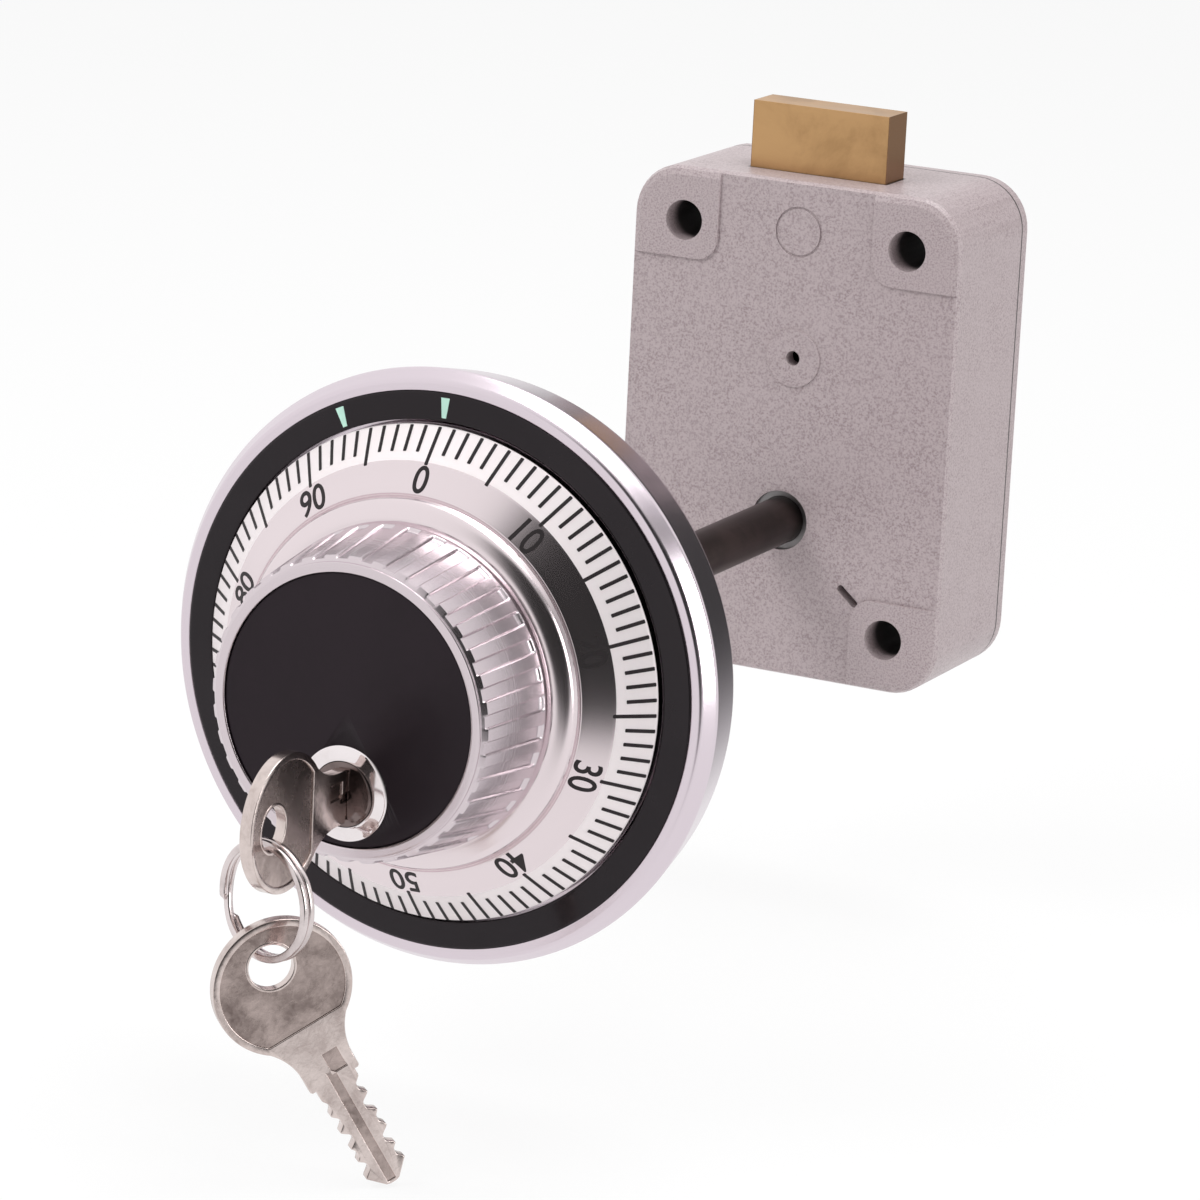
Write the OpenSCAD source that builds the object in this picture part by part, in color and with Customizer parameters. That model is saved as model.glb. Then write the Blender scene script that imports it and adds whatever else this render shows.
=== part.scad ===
// Combination safe lock: case with sliding bolt, three-wheel pack, spindle,
// numbered dial with a fluted knob, dial ring, and a key-locking plug with two keys.
// Frame: origin where the spindle axis meets the case's mounting face,
// -Y toward the dial and the user, +Z along the bolt, +X to the right seen from the dial.

/* [Case] */
// Thickness of the case walls
wall = 3; // [2.6:0.1:3.2]
// Room between the lever's foot and the side wall
side_room = 4.65; // [4:0.05:6]
// Height of the case above the lever's pivot
head_room = 18.2; // [17.6:0.1:20]
// Room between the wheels and the lower wall
under_room = 4.8; // [4.5:0.1:6]
// Room between the drive cam's hub and the cover
back_room = 1.6; // [1.2:0.1:4]
// Outer corner radius of the case
corner_r = 8.5; // [7:0.5:9]
// Distance of the mounting holes from the case's sides
hole_side = 9.6; // [9:0.1:10]
// Distance of the upper mounting holes from the case's top
hole_top = 9.1; // [8.8:0.1:9.6]
// Distance of the lower mounting holes from the case's foot
hole_foot = 9.2; // [8.8:0.1:9.6]
// Diameter of the mounting holes
hole_d = 6.8; // [6.4:0.1:7]
// Height of the pads around the mounting holes
pad_h = 0.5; // [0.3:0.1:0.6]

/* [Bolt] */
// Width of the bolt
bolt_w = 25.1; // [22:0.1:25.4]
// Thickness of the bolt
bolt_t = 7.2; // [6.4:0.1:7.4]
// How far the thrown bolt stands out of the case
bolt_reach = 11.4; // [10:0.1:12]

/* [Wheel pack] */
// Outer radius of the three combination wheels
wheel_r = 19; // [18.6:0.1:19]
// Thickness of each wheel
wheel_t = 2; // [1.8:0.1:2.1]
// Width of the gate in each wheel
gate_w = 3; // [2.9:0.1:3.4]
// Outer radius of the drive cam
cam_r = 14.5; // [14:0.1:14.5]

/* [Spindle] */
// Diameter of the spindle
spindle_d = 8; // [7.4:0.1:8]
// Distance from the case's mounting face to the back of the dial ring
door_t = 108; // [60:1:140]

/* [Key lock] */
// Radius of the turning plug
plug_r = 5; // [4.8:0.1:5.2]
// Wall of the housing round the plug
housing_wall = 1.5; // [1.2:0.1:1.8]
// Gap between the spindle and the plug's housing
plug_gap = 2.2; // [2:0.1:3]
// How far the polished face overlaps the housing's rim
face_lip = 0.8; // [0.6:0.1:1]

/* [Knob] */
// Width of the cap between the plug's housing and the knob's rim
cap_edge = 1.65; // [1.5:0.05:3]
// Width of the knob's front rim
knob_rim = 2.35; // [2.2:0.05:3]
// How much wider the knob is at its back
knob_flare = 2.1; // [1:0.1:2.2]
// Length of the fluted part of the knob
knob_len = 16; // [14:0.5:20]
// Number of flutes round the knob
flutes = 36; // [24:1:40]
// Width of each flute
flute_w = 2.1; // [1.6:0.1:2.4]
// Depth of each flute
flute_depth = 0.85; // [0.5:0.05:1]

/* [Dial and ring] */
// Width of the rounded shoulder round the knob
shoulder_w = 3.9; // [3.8:0.1:5]
// Width of the cone that carries the scale and numbers
scale_w = 9.2; // [8.6:0.1:10]
// How far that cone rises from its rim to its inner edge
scale_rise = 7.2; // [5:0.1:7.4]
// Width of the black index band, with the gap inside it
band_w = 4.8; // [4.5:0.1:5.2]
// Width of the dial ring outside the band
rim_w = 3.2; // [3:0.1:4.5]
// Height of the dial ring
ring_h = 12.3; // [11.5:0.1:14]

/* [Keys] */
// Radius of the key's round bow
bow_r = 10.5; // [10:0.1:11]
// Thickness of the key
key_t = 2; // [1.8:0.1:2]
// Width of the key's blade
blade_w = 6.6; // [6.2:0.1:6.8]
// Length of the key's blade
blade_len = 19; // [17:0.5:20]
// Mean radius of the split ring
loop_r = 8.6; // [8.4:0.1:10]
// Lean of the hanging key from upright
hang_lean = 30; // [0:1:35]

/* [Hidden] */
$fn = 96;

// Radial play of every turning fit
run = 0.06;
// Play beside sliding pieces
slip = 0.1;
// Step that lets one piece stand clear of the next
clear = 0.1;

// Wheel pack, from the mounting face inward
spindle_r = spindle_d / 2;
entry_r = spindle_r + 1.1;
post_bore = spindle_r + 0.08;
post_r = spindle_r + 2;
wheel_gap = 2.2;
wheel_pitch = wheel_t + wheel_gap;
pack_y = 4.3;
function wheel_y(n) = pack_y + (n - 1) * wheel_pitch;
hub_r = post_r + 2;
cam_y0 = wheel_y(3) + wheel_t + 2.3;
cam_y1 = cam_y0 + 4;
cam_back = cam_y1 + 3.4;
cam_hub_r = hub_r;
pin_r = 1.25;
drive_pin_at = hub_r + 1.5;
pin_h = 1.6;
post_end = cam_y0 - 0.4;
clip_y = wheel_y(3) + wheel_t + 0.9;

// Lever and fence, drawn with the lever lifted and the bolt thrown
bolt_y0 = wall + 5;
bolt_y1 = bolt_y0 + bolt_t;
lever_y0 = bolt_y1 + 2.3;
lever_t = 3;
collar_r = 4.5;
collar_y = lever_y0 + lever_t + 1.9;
wire = 0.4;
coil_r = collar_r + wire + 0.3;
lever_x = 9;
lever_z = wheel_r + 21;
throw = 11.2;
lever_drop = 5.1;
fence_r = 1.2;
fence_x = wheel_r + fence_r + 0.3;
// The fence sinks a little as it swings in, so it starts above half the throw
fence_z = throw / 2 + (fence_x - lever_x) * sin(lever_drop) - 0.13;
fence_low_x = lever_x + (fence_x - lever_x) * cos(lever_drop) - (lever_z - fence_z) * sin(lever_drop);
foot_in = fence_x - 2.3;
foot_out = fence_x + 2.1;
nose_x = cam_r + 0.35;
// Directions of the cam gate's two sides and its middle
cam_gate = [13.5, 45, 78];
gate_angle = atan(throw / 2 / fence_low_x);
gate_depth = 3.4;

// Case, drawn round the mechanism
cover_t = wall;
seam_y = max(cam_back, collar_y + 1.6) + back_room;
case_d = seam_y + cover_t;
case_w = 2 * (foot_out + side_room + wall);
case_up = lever_z + head_room;
case_down = wheel_r + under_room + wall;
edge = 1.4;
boss_r = 5.6;
hole_x = case_w / 2 - hole_side;
hole_up = case_up - hole_top;
hole_low = -case_down + hole_foot;
holes = [[-hole_x, hole_up], [hole_x, hole_up], [-hole_x, hole_low], [hole_x, hole_low]];
// The cover's holes are wider, so that only the case body centres the screws
cover_hole_r = hole_d / 2 + 0.5;
// Tapped hole, mould mark and slanted slot of the front face
tapped_at = [0.9, lever_z - 11.8];
mark_at = [0.6, hole_up + 0.6];
slot_at = [hole_x - 7.25, hole_low + 6.4];

// Bolt
bolt_top = case_up + bolt_reach;
bolt_foot = lever_z - 7;
ear_w = bolt_w + 5.9;
relock_y = (bolt_y0 + bolt_y1) / 2;
relock_z = lever_z - 0.6;
ear_h = 3;
stop_top = bolt_foot - throw - 0.1;

// Dial side, as distances in front of the mounting face
ring_d0 = door_t;
ring_floor = ring_d0 + 2.5;
ring_rim = ring_d0 + ring_h;
ring_wide = ring_rim - 2.7;
shelf_d = ring_rim - 2;
dial_d0 = ring_rim - 0.7;
scale_d = ring_rim + 1.3;
scale_top = scale_d + scale_rise;
seat_d = scale_top - 2.8;
knob_d0 = scale_top + 2.6;
knob_d1 = knob_d0 + knob_len;
cap_d0 = knob_d1 - 2.3;
cap_d1 = knob_d1 - 0.4;
face_d = cap_d1 + 0.9;
// Radii, from the spindle outward
housing_r = plug_r + housing_wall;
face_r = housing_r + face_lip;
plug_down = spindle_r + plug_gap + housing_r;
cap_r = plug_down + housing_r + cap_edge;
knob_front_r = cap_r + knob_rim;
knob_back_r = knob_front_r + knob_flare;
scale_r = knob_back_r + shoulder_w;
dial_r = scale_r + scale_w;
band_r = dial_r + band_w;
ring_r = band_r + rim_w;
dial_hub_r = spindle_r + 3;
ring_hub_r = dial_hub_r + 2;
tongue_r = housing_r * 2;
rib_r0 = plug_down + tongue_r - 0.9;
rib_r1 = rib_r0 + 3.5;
rib_top = ring_wide;
ring_screw_at = (rib_r1 + dial_r - 1.9) / 2;

// Keys
shoulder = bow_r + 6.5;
eye_r = 3.4;
eye_web = 3.4;
eye_off = bow_r - eye_r - eye_web;
keyway_deep = blade_len + 1.5;
bow_d = face_d + 0.1 + shoulder;
eye_d = bow_d + eye_off;
wire_in = 2.3;
// The hanging key sits a little higher on the ring, clear of its wire's edges
spare_in = 1.6;
loop_z = -plug_down - wire_in - loop_r;
loop_yaw = -17;
hang_yaw = -45;
hang_dir = [sin(hang_lean) * sin(-hang_yaw), sin(hang_lean) * cos(-hang_yaw), -cos(hang_lean)];

// A flat shape drawn in X and Z, from depth y0 to depth y1
module slab(y0, y1) {
    translate([0, y1, 0]) rotate([90, 0, 0]) linear_extrude(height = y1 - y0) children();
}

// A round rod along Y
module rod(x, z, y0, y1, r) {
    translate([x, y1, z]) rotate([90, 0, 0]) cylinder(h = y1 - y0, r = r);
}

// A cone along Y from radius ra at y0 to radius rb at y1
module taper(x, z, y0, y1, ra, rb) {
    translate([x, y1, z]) rotate([90, 0, 0]) cylinder(h = y1 - y0, r1 = rb, r2 = ra);
}

// A turned shape about the spindle axis: profile in radius and distance in front of the case
module turned() {
    rotate([90, 0, 0]) rotate_extrude() children();
}

// Rectangle between two opposite corners, given in any order
module between(a, b) {
    translate([min(a[0], b[0]), min(a[1], b[1])]) square([abs(a[0] - b[0]), abs(a[1] - b[1])]);
}

// Rounded outline of the case, drawn smaller by inset
module outline(inset, fn = 96) {
    r = corner_r - inset;
    x = case_w / 2;
    between([inset - x, corner_r - case_down], [x - inset, case_up - corner_r]);
    between([corner_r - x, inset - case_down], [x - corner_r, case_up - inset]);
    for (sx = [-1, 1]) {
        translate([sx * (x - corner_r), case_up - corner_r]) circle(r = r, $fn = fn);
        translate([sx * (x - corner_r), corner_r - case_down]) circle(r = r, $fn = fn);
    }
}

// Plan of the four pads around the mounting holes
module pads() {
    reach = 6.4;
    turn = 4;
    for (h = holes) {
        sx = sign(h[0]);
        sz = h[1] > 0 ? 1 : -1;
        inner = [h[0] - sx * reach, h[1] - sz * reach];
        outer = [h[0] + sx * 14, h[1] + sz * 14];
        between([inner[0] + sx * turn, inner[1]], outer);
        between([inner[0], inner[1] + sz * turn], outer);
        translate([inner[0] + sx * turn, inner[1] + sz * turn]) circle(r = turn);
    }
}

// Places of the four cover screws
cover_x = case_w / 2 - 6.05;
cover_z = lever_z - 10;
cover_at = [[-cover_x, cover_z], [cover_x, cover_z], [-9, 5.6 - case_down], [9, 5.6 - case_down]];

module case_body() {
    inner_x = case_w / 2 - wall;
    color("gainsboro") difference() {
        union() {
            difference() {
                hull() {
                    slab(0, 0.02) outline(edge, 40);
                    slab(0.4, 0.42) outline(edge * 0.3, 40);
                    slab(edge, seam_y) outline(0, 40);
                }
                slab(wall, seam_y + 1) outline(wall);
            }
            // Mounting bosses run the full depth
            for (h = holes) rod(h[0], h[1], wall - 0.5, seam_y, boss_r);
            // Screw bosses for the cover
            for (s = cover_at) rod(s[0], s[1], wall - 0.5, seam_y, 3);
            slab(wall - 0.5, seam_y) for (s = [-1, 1]) translate([s * (inner_x - 1.2), cover_z]) square([3.2, 4], center = true);
            slab(wall - 0.5, seam_y) for (s = [-9, 9]) translate([s, -case_down + wall + 0.6]) square([4, 2.4], center = true);
            // Rails beside the bolt and the bed under it
            for (s = [-1, 1]) {
                translate([s * (bolt_w / 2 + slip + 1.1) - 1.1, wall - 0.5, bolt_foot + ear_h + 0.1])
                    cube([2.2, bolt_y1 - wall - 0.2, case_up - wall - bolt_foot - ear_h + 0.4]);
                translate([s * (bolt_w / 2 + 1.85) - 1.1, wall - 0.5, stop_top - 1.8])
                    cube([2.2, bolt_y1 - wall - 1, 1.8]);
            }
            translate([3.55 - bolt_w / 2, wall - 0.5, lever_z + 1])
                cube([bolt_w - 7.1, bolt_y0 - wall + 0.5 - clear, head_room - wall - 0.7]);
            // Guide block of the relocking pin
            translate([-case_w / 2 + 1, wall - 0.5, relock_z - 4]) cube([6.6, bolt_y1 - wall + 1.3, 8]);
        }
        // Low face between the pads
        difference() {
            slab(-1, pad_h) translate([0, (case_up - case_down) / 2]) square([case_w + 4, case_up + case_down + 4], center = true);
            slab(-2, pad_h + 1) pads();
        }
        for (h = holes) rod(h[0], h[1], -1, seam_y + 1, hole_d / 2);
        rod(0, 0, -1, wall + 1, entry_r);
        // Slot in the top wall for the bolt
        translate([-bolt_w / 2 - slip, bolt_y0 - slip, case_up - wall - 4]) cube([bolt_w + 2 * slip, bolt_t + 2 * slip, wall + 8]);
        // Tapped hole, round mould mark and slanted slot of the front face
        rod(tapped_at[0], tapped_at[1], -1, wall + 1, 1.25);
        difference() {
            rod(mark_at[0], mark_at[1], -1, pad_h + 0.25, 4.3);
            rod(mark_at[0], mark_at[1], -2, pad_h + 1, 3.9);
        }
        slab(-1, wall + 1) translate(slot_at) rotate(-40) union() {
            square([3.4, 1.3], center = true);
            translate([-1.7, 0]) circle(r = 0.65);
            translate([1.7, 0]) circle(r = 0.65);
        }
        for (s = cover_at) rod(s[0], s[1], seam_y - 8, seam_y + 1, 1.5);
        translate([-case_w / 2 + 1.4, relock_y, relock_z]) rotate([0, 90, 0]) cylinder(h = 8, r = 2.9);
        translate([-bolt_w / 2 - 4, relock_y, relock_z]) rotate([0, 90, 0]) cylinder(h = 8, r = 1.5 + run);
    }
    // Low round boss about the tapped hole
    color("gainsboro") difference() {
        rod(tapped_at[0], tapped_at[1], pad_h - 0.3, pad_h + 0.2, 4.9);
        rod(tapped_at[0], tapped_at[1], -1, pad_h + 1, 1.25);
    }
}

module back_cover() {
    color("silver") difference() {
        hull() {
            slab(seam_y, case_d - 0.8) outline(0, 40);
            slab(case_d - 0.25, case_d) outline(0.7, 40);
        }
        for (h = holes) rod(h[0], h[1], seam_y - 1, case_d + 1, cover_hole_r);
        for (s = cover_at) {
            rod(s[0], s[1], seam_y - 1, case_d + 1, 1.5);
            taper(s[0], s[1], case_d - 1.6, case_d + 0.01, 1.5, 3.01);
        }
    }
}

// Countersunk screw that holds the cover, with a cross slot
module cover_screw(n) {
    p = cover_at[n - 1];
    color("dimgray") difference() {
        union() {
            rod(p[0], p[1], seam_y - 8, case_d - 1.6, 1.5);
            taper(p[0], p[1], case_d - 1.6, case_d, 1.5, 3);
        }
        translate([p[0], case_d, p[1]]) cube([3.6, 1.6, 0.7], center = true);
        translate([p[0], case_d, p[1]]) cube([0.7, 1.6, 3.6], center = true);
    }
}

// Fixed tube on which the wheels turn; the spindle runs in its bore
module wheel_post() {
    color("goldenrod") difference() {
        union() {
            rod(0, 0, 1.2, wall, entry_r);
            rod(0, 0, wall, post_end, post_r);
        }
        rod(0, 0, 0, post_end + 1, post_bore);
        difference() {
            rod(0, 0, clip_y, clip_y + 0.7, post_r + 1);
            rod(0, 0, clip_y - 1, clip_y + 2, post_r - 0.7);
        }
    }
}

// Open spring clip in the post's groove
module post_clip() {
    color("dimgray") slab(clip_y + 0.05, clip_y + 0.65) difference() {
        circle(r = post_r + 1.1);
        circle(r = post_r - 0.7);
        translate([0, -post_r]) square([5, 8], center = true);
    }
}

// Waved washer that keeps the pack from rattling, drawn flat under load
module tension_washer() {
    color("silver") slab(wheel_y(3) + wheel_t + 0.3, clip_y + 0.05) difference() {
        circle(r = hub_r - 0.2);
        circle(r = post_r);
    }
}

// Fixed ring between two wheels, so that one doesn't drag the next
module spacer(n) {
    y0 = n == 1 ? wall : wheel_y(n - 1) + wheel_t + clear;
    color("goldenrod") slab(y0, wheel_y(n) - clear) difference() {
        circle(r = hub_r - 0.2);
        circle(r = post_r);
    }
}

module bolt() {
    color("gold") difference() {
        union() {
            translate([-bolt_w / 2, bolt_y0, bolt_foot]) cube([bolt_w, bolt_t, bolt_top - bolt_foot]);
            translate([-ear_w / 2, bolt_y0, bolt_foot]) cube([ear_w, bolt_t, ear_h]);
            rod(lever_x, lever_z, bolt_y1 - 0.5, lever_y0 - clear, 4.2);
            // Peg that holds the spring's short end
            rod(lever_x - 7.4, lever_z + coil_r - wire - 1.05, bolt_y1 - 0.5, lever_y0 + 5, 0.9);
        }
        // Threaded hole of the lever screw
        rod(lever_x, lever_z, bolt_y0 + 2, lever_y0, 2);
        // Notch for the relocking pin
        translate([-bolt_w / 2 - 1, relock_y, relock_z]) rotate([0, 90, 0]) cylinder(h = 4.4, r = 1.7);
        // Slot cut through the tail for lightness
        translate([-4, bolt_y0 - 1, bolt_foot + 3]) cube([6, bolt_t + 2, 10]);
    }
}

module lever_screw() {
    color("dimgray") difference() {
        union() {
            rod(lever_x, lever_z, bolt_y0 + 2, lever_y0 - clear, 2);
            rod(lever_x, lever_z, lever_y0 - clear, collar_y + clear, 2.5);
            rod(lever_x, lever_z, collar_y + clear, collar_y + 1.6, 4.4);
        }
        translate([lever_x, collar_y + 1.6, lever_z]) cube([10, 1.6, 1], center = true);
    }
}

// Two coils round the lever's collar; one end bears on the bolt's peg, the other presses the lever
module lever_spring() {
    y0 = lever_y0 + lever_t + 0.55;
    color("lightsteelblue") union() {
        for (i = [0, 1]) {
            translate([lever_x, y0 + i * 0.75, lever_z]) rotate([90, 0, 0])
                rotate_extrude() translate([coil_r, 0]) circle(r = wire, $fn = 24);
        }
        // Short end, resting on the peg
        translate([lever_x, y0, lever_z + coil_r - 0.1]) rotate([0, -90, 0]) cylinder(h = 7.6, r = wire, $fn = 24);
        // Long end, bearing on the lever's peg
        translate([lever_x + coil_r, y0 + 0.75, lever_z]) rotate([0, 160.5, 0]) cylinder(h = 15.5, r = wire, $fn = 24);
    }
}

// Plan of the lever: pivot eye, arm, foot and nose
module lever_plan() {
    union() {
        translate([lever_x, lever_z]) circle(r = 5.2);
        polygon([[lever_x - 4.6, lever_z - 2.4], [foot_in, lever_z - 22], [foot_in, fence_z - 3],
            [foot_out, fence_z - 3], [foot_out, lever_z - 21], [lever_x + 4.8, lever_z + 2]]);
        polygon([[foot_in + 0.5, fence_z - 1.7], [nose_x + 0.5, fence_z - 1.7], [nose_x, fence_z - 1.2],
            [nose_x, fence_z + 1.2], [nose_x + 0.5, fence_z + 1.7], [foot_in + 0.5, fence_z + 1.7]]);
    }
}

module lever() {
    color("darkgoldenrod") difference() {
        union() {
            slab(lever_y0, lever_y0 + lever_t) lever_plan();
            rod(lever_x, lever_z, lever_y0, collar_y, collar_r);
            // Peg pressed by the spring's long end
            rod(lever_x + 8.5, lever_z - 13.5, lever_y0 + 1, lever_y0 + lever_t + 1.9, 0.9);
        }
        rod(lever_x, lever_z, lever_y0 - 1, collar_y + 1, 2.5 + run);
        rod(fence_x, fence_z, lever_y0 - 1, lever_y0 + lever_t - 0.8, fence_r);
    }
}

// Round bar that falls into the wheels' gates
module fence() {
    color("silver") rod(fence_x, fence_z, pack_y - 0.4, lever_y0 + lever_t - 0.8, fence_r);
}

// Gate centre line of the wheels at rest, turned back to where the fence stands
module wheel_plan(bore) {
    difference() {
        circle(r = wheel_r);
        circle(r = bore);
        rotate(gate_angle) translate([wheel_r - gate_depth, -gate_w / 2]) square([gate_depth + 2, gate_w]);
    }
}

// Combination wheel: gated disc on a hub, with a drive pin on each face
module wheel_disc(n) {
    color("wheat") difference() {
        slab(wheel_y(n), wheel_y(n) + wheel_t) wheel_plan(hub_r - 0.5);
        // Pockets that hold the drive pins
        drive_pins(n);
        // Row of index holes near the rim
        for (a = [0 : 30 : 330]) {
            rotate([0, a + 10, 0]) rod(wheel_r - 5, 0, wheel_y(n) - 1, wheel_y(n) + wheel_t + 1, 0.8);
        }
    }
}

// Directions of the drive pins on the front and back of each wheel, seen from the dial
front_pin = [200, 108, 16];
back_pin = [92, 0, -70];

// Drive pins of wheel n; each stands in the disc for half its thickness
module drive_pins(n) {
    y0 = wheel_y(n);
    mid = y0 + wheel_t / 2;
    if (n > 1) rotate([0, -front_pin[n - 1], 0]) rod(drive_pin_at, 0, y0 - pin_h, mid, pin_r);
    rotate([0, -back_pin[n - 1], 0]) rod(drive_pin_at, 0, mid, y0 + wheel_t + pin_h, pin_r);
}

module wheel_hub(n) {
    y0 = wheel_y(n);
    color("gold") union() {
        slab(y0, y0 + wheel_t) difference() {
            circle(r = hub_r - 0.5);
            circle(r = post_r + run);
        }
        drive_pins(n);
    }
}

module drive_cam() {
    color("gold") difference() {
        union() {
            slab(cam_y0, cam_y1) difference() {
                circle(r = cam_r);
                // Wide gate that takes the lever's nose
                intersection() {
                    difference() {
                        circle(r = cam_r + 3);
                        circle(r = cam_r - 3.6);
                    }
                    polygon([[0, 0], for (a = cam_gate) 40 * [cos(a), sin(a)]]);
                }
            }
            rod(0, 0, cam_y1 - 0.5, cam_back, cam_hub_r);
            rod(drive_pin_at, 0, cam_y0 - pin_h, cam_y0 + 0.5, pin_r);
        }
        rod(0, 0, cam_y0 - 1, cam_y1 + 5, spindle_r);
        translate([-0.9, cam_y1 - 2, spindle_r - 1]) cube([1.8, 7, 2.6]);
    }
}

// Locks the cam to the spindle
module spline_key() {
    color("dimgray") translate([-0.9, cam_y1 - 2, spindle_r - 1]) cube([1.8, 5.4, 2.6]);
}

// Spring-loaded pin that blocks the bolt if the cover is forced off
module relock_pin() {
    color("silver") union() {
        translate([-bolt_w / 2 - 3.2, relock_y, relock_z]) rotate([0, 90, 0]) cylinder(h = 3, r = 1.5);
        translate([-case_w / 2 + 4.4, relock_y, relock_z]) rotate([0, 90, 0]) cylinder(h = case_w / 2 - bolt_w / 2 - 7.5, r = 1.5);
        translate([-case_w / 2 + 4.4, relock_y, relock_z]) rotate([0, 90, 0]) cylinder(h = 1.2, r = 2.8);
    }
}

module relock_spring() {
    color("lightsteelblue") for (i = [0 : 3]) {
        translate([-case_w / 2 + 1.8 + i * 0.72, relock_y, relock_z]) rotate([0, 90, 0])
            rotate_extrude() translate([2.1, 0]) circle(r = 0.4, $fn = 24);
    }
}

module spindle() {
    color("saddlebrown") difference() {
        rod(0, 0, -dial_d0 - 3.4, cam_back, spindle_r);
        translate([-0.9, cam_y1 - 2, spindle_r - 1]) cube([1.8, 7, 3]);
    }
}

module dial_ring() {
    color("silver") difference() {
        turned() polygon([
            [dial_hub_r + run, ring_d0], [ring_r - 2, ring_d0], [ring_r, ring_wide],
            [ring_r - 0.5, ring_wide + 0.9], [ring_r - 1.6, ring_rim], [band_r, ring_rim],
            [band_r, shelf_d], [dial_r - 1.9, shelf_d], [dial_r - 1.9, ring_floor],
            [rib_r1, ring_floor], [rib_r1, rib_top], [rib_r0, rib_top], [rib_r0, ring_floor],
            [ring_hub_r, ring_floor], [ring_hub_r, ring_floor + 6.5], [dial_hub_r + run, ring_floor + 6.5]]);
        // Two notches take the key lock's cam, at 0 and at 50
        for (s = [-1, 1]) rod(0, s * plug_down, -rib_top - 1, -ring_floor, tongue_r + 0.3);
        for (a = [90, 210, 330])
            rod(ring_screw_at * cos(a), ring_screw_at * sin(a), -ring_floor - 1, -ring_d0 + 1, 2.25);
    }
}

// Glossy black band with the two index marks cut into it
module index_band() {
    d1 = ring_rim + 0.5;
    color("black") difference() {
        turned() polygon([[dial_r + 0.5, shelf_d], [band_r, shelf_d], [band_r, ring_rim + 0.1], [dial_r + 0.5, d1]]);
        for (a = [0, -25.2]) rotate([0, a, 0]) translate([-0.7, -d1 - 0.3, dial_r + 1]) cube([1.4, 0.6, band_w - 1.4]);
    }
}

module dial() {
    hub_d0 = ring_d0 + 1;
    color("silver") difference() {
        turned() polygon([
            [spindle_r, hub_d0], [dial_hub_r, hub_d0], [dial_hub_r, dial_d0], [dial_r, dial_d0],
            [dial_r, scale_d], [scale_r, scale_top], [scale_r - 0.9, scale_top - 0.8],
            [scale_r - 1.6, scale_top - 0.8], [scale_r - 1.8, scale_top + 0.9], [scale_r - 2.5, scale_top + 1.9],
            [scale_r - 3.4, scale_top + 2.3], [knob_back_r - 0.8, scale_top + 2.3],
            [knob_back_r - 0.8, seat_d], [spindle_r, seat_d]]);
        rod(0, -plug_down, -seat_d - 1, -dial_d0 + 1, housing_r);
        for (p = knob_screw_at) rod(p[0], p[1], -seat_d - 1, -seat_d + 4, 1.5);
    }
}

knob_screw_at = [[0, cap_r - 5.85], [7.85 - cap_r, -6], [cap_r - 7.85, -6]];

// Fluted hand knob: a deep cup screwed to the dial
module knob() {
    lean = atan((knob_back_r - knob_front_r) / knob_len);
    color("silver") difference() {
        turned() polygon([
            [0, seat_d], [knob_back_r - 0.8, seat_d], [knob_back_r - 0.8, knob_d0 - 0.3], [knob_back_r - 0.4, knob_d0 - 0.3],
            [knob_back_r, knob_d0 + 0.4], [knob_front_r + 0.05, knob_d1 - 0.4], [knob_front_r - 0.4, knob_d1],
            [cap_r, knob_d1], [cap_r, cap_d0], [cap_r - 1.4, cap_d0], [cap_r - 1.4, seat_d + 3], [0, seat_d + 3]]);
        for (i = [0 : flutes - 1]) rotate([0, (i + 0.5) * 360 / flutes, 0])
            translate([0, -knob_d0 - 1.6, knob_back_r - 0.13]) rotate([lean, 0, 0])
                translate([-flute_w / 2, -knob_len, -flute_depth]) cube([flute_w, knob_len, 3]);
        rod(0, -plug_down, -seat_d - 4, -seat_d + 1, housing_r);
        for (p = knob_screw_at) rod(p[0], p[1], -seat_d - 4, -seat_d + 1, 1.5);
    }
}

module knob_screw(n) {
    p = knob_screw_at[n - 1];
    color("dimgray") difference() {
        union() {
            rod(p[0], p[1], -seat_d - 3, -seat_d + 4, 1.5);
            rod(p[0], p[1], -seat_d - 5, -seat_d - 3, 2.8);
        }
        translate([p[0], -seat_d - 5, p[1]]) cube([6, 1.4, 0.8], center = true);
    }
}

module knob_cap() {
    color("black") difference() {
        turned() polygon([[0, cap_d0], [cap_r, cap_d0], [cap_r, cap_d1 - 0.2], [cap_r - 0.2, cap_d1], [0, cap_d1]]);
        rod(0, -plug_down, -cap_d1 - 1, -cap_d0 + 1, housing_r);
    }
}

module plug_housing() {
    color("silver") difference() {
        union() {
            rod(0, -plug_down, -cap_d1, -dial_d0, housing_r);
            taper(0, -plug_down, -face_d, -cap_d1, face_r - 0.4, face_r);
        }
        rod(0, -plug_down, -face_d - 1, -dial_d0 + 1, plug_r + run);
    }
}

module plug() {
    color("silver") difference() {
        union() {
            rod(0, -plug_down, -face_d, -dial_d0 + 0.3, plug_r);
            rod(0, -plug_down, -dial_d0 + 0.3, -dial_d0 + 5, 2.2);
        }
        translate([-key_t / 2 - 0.1, -face_d - 1, -plug_down - blade_w / 2 - 0.1]) cube([key_t + 0.2, keyway_deep + 1, blade_w + 0.2]);
    }
}

// Sector that swings into a notch of the dial ring when the key is turned
module lock_cam() {
    far = 2 * tongue_r;
    color("gold") slab(-dial_d0 + 2, -dial_d0 + 4) translate([0, -plug_down]) difference() {
        union() {
            intersection() {
                circle(r = tongue_r);
                polygon([[0, 0], far * [cos(40), -sin(40)], [far, 0], far * [cos(40), sin(40)]]);
            }
            circle(r = 3.1);
        }
        circle(r = 2.2);
    }
}

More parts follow.
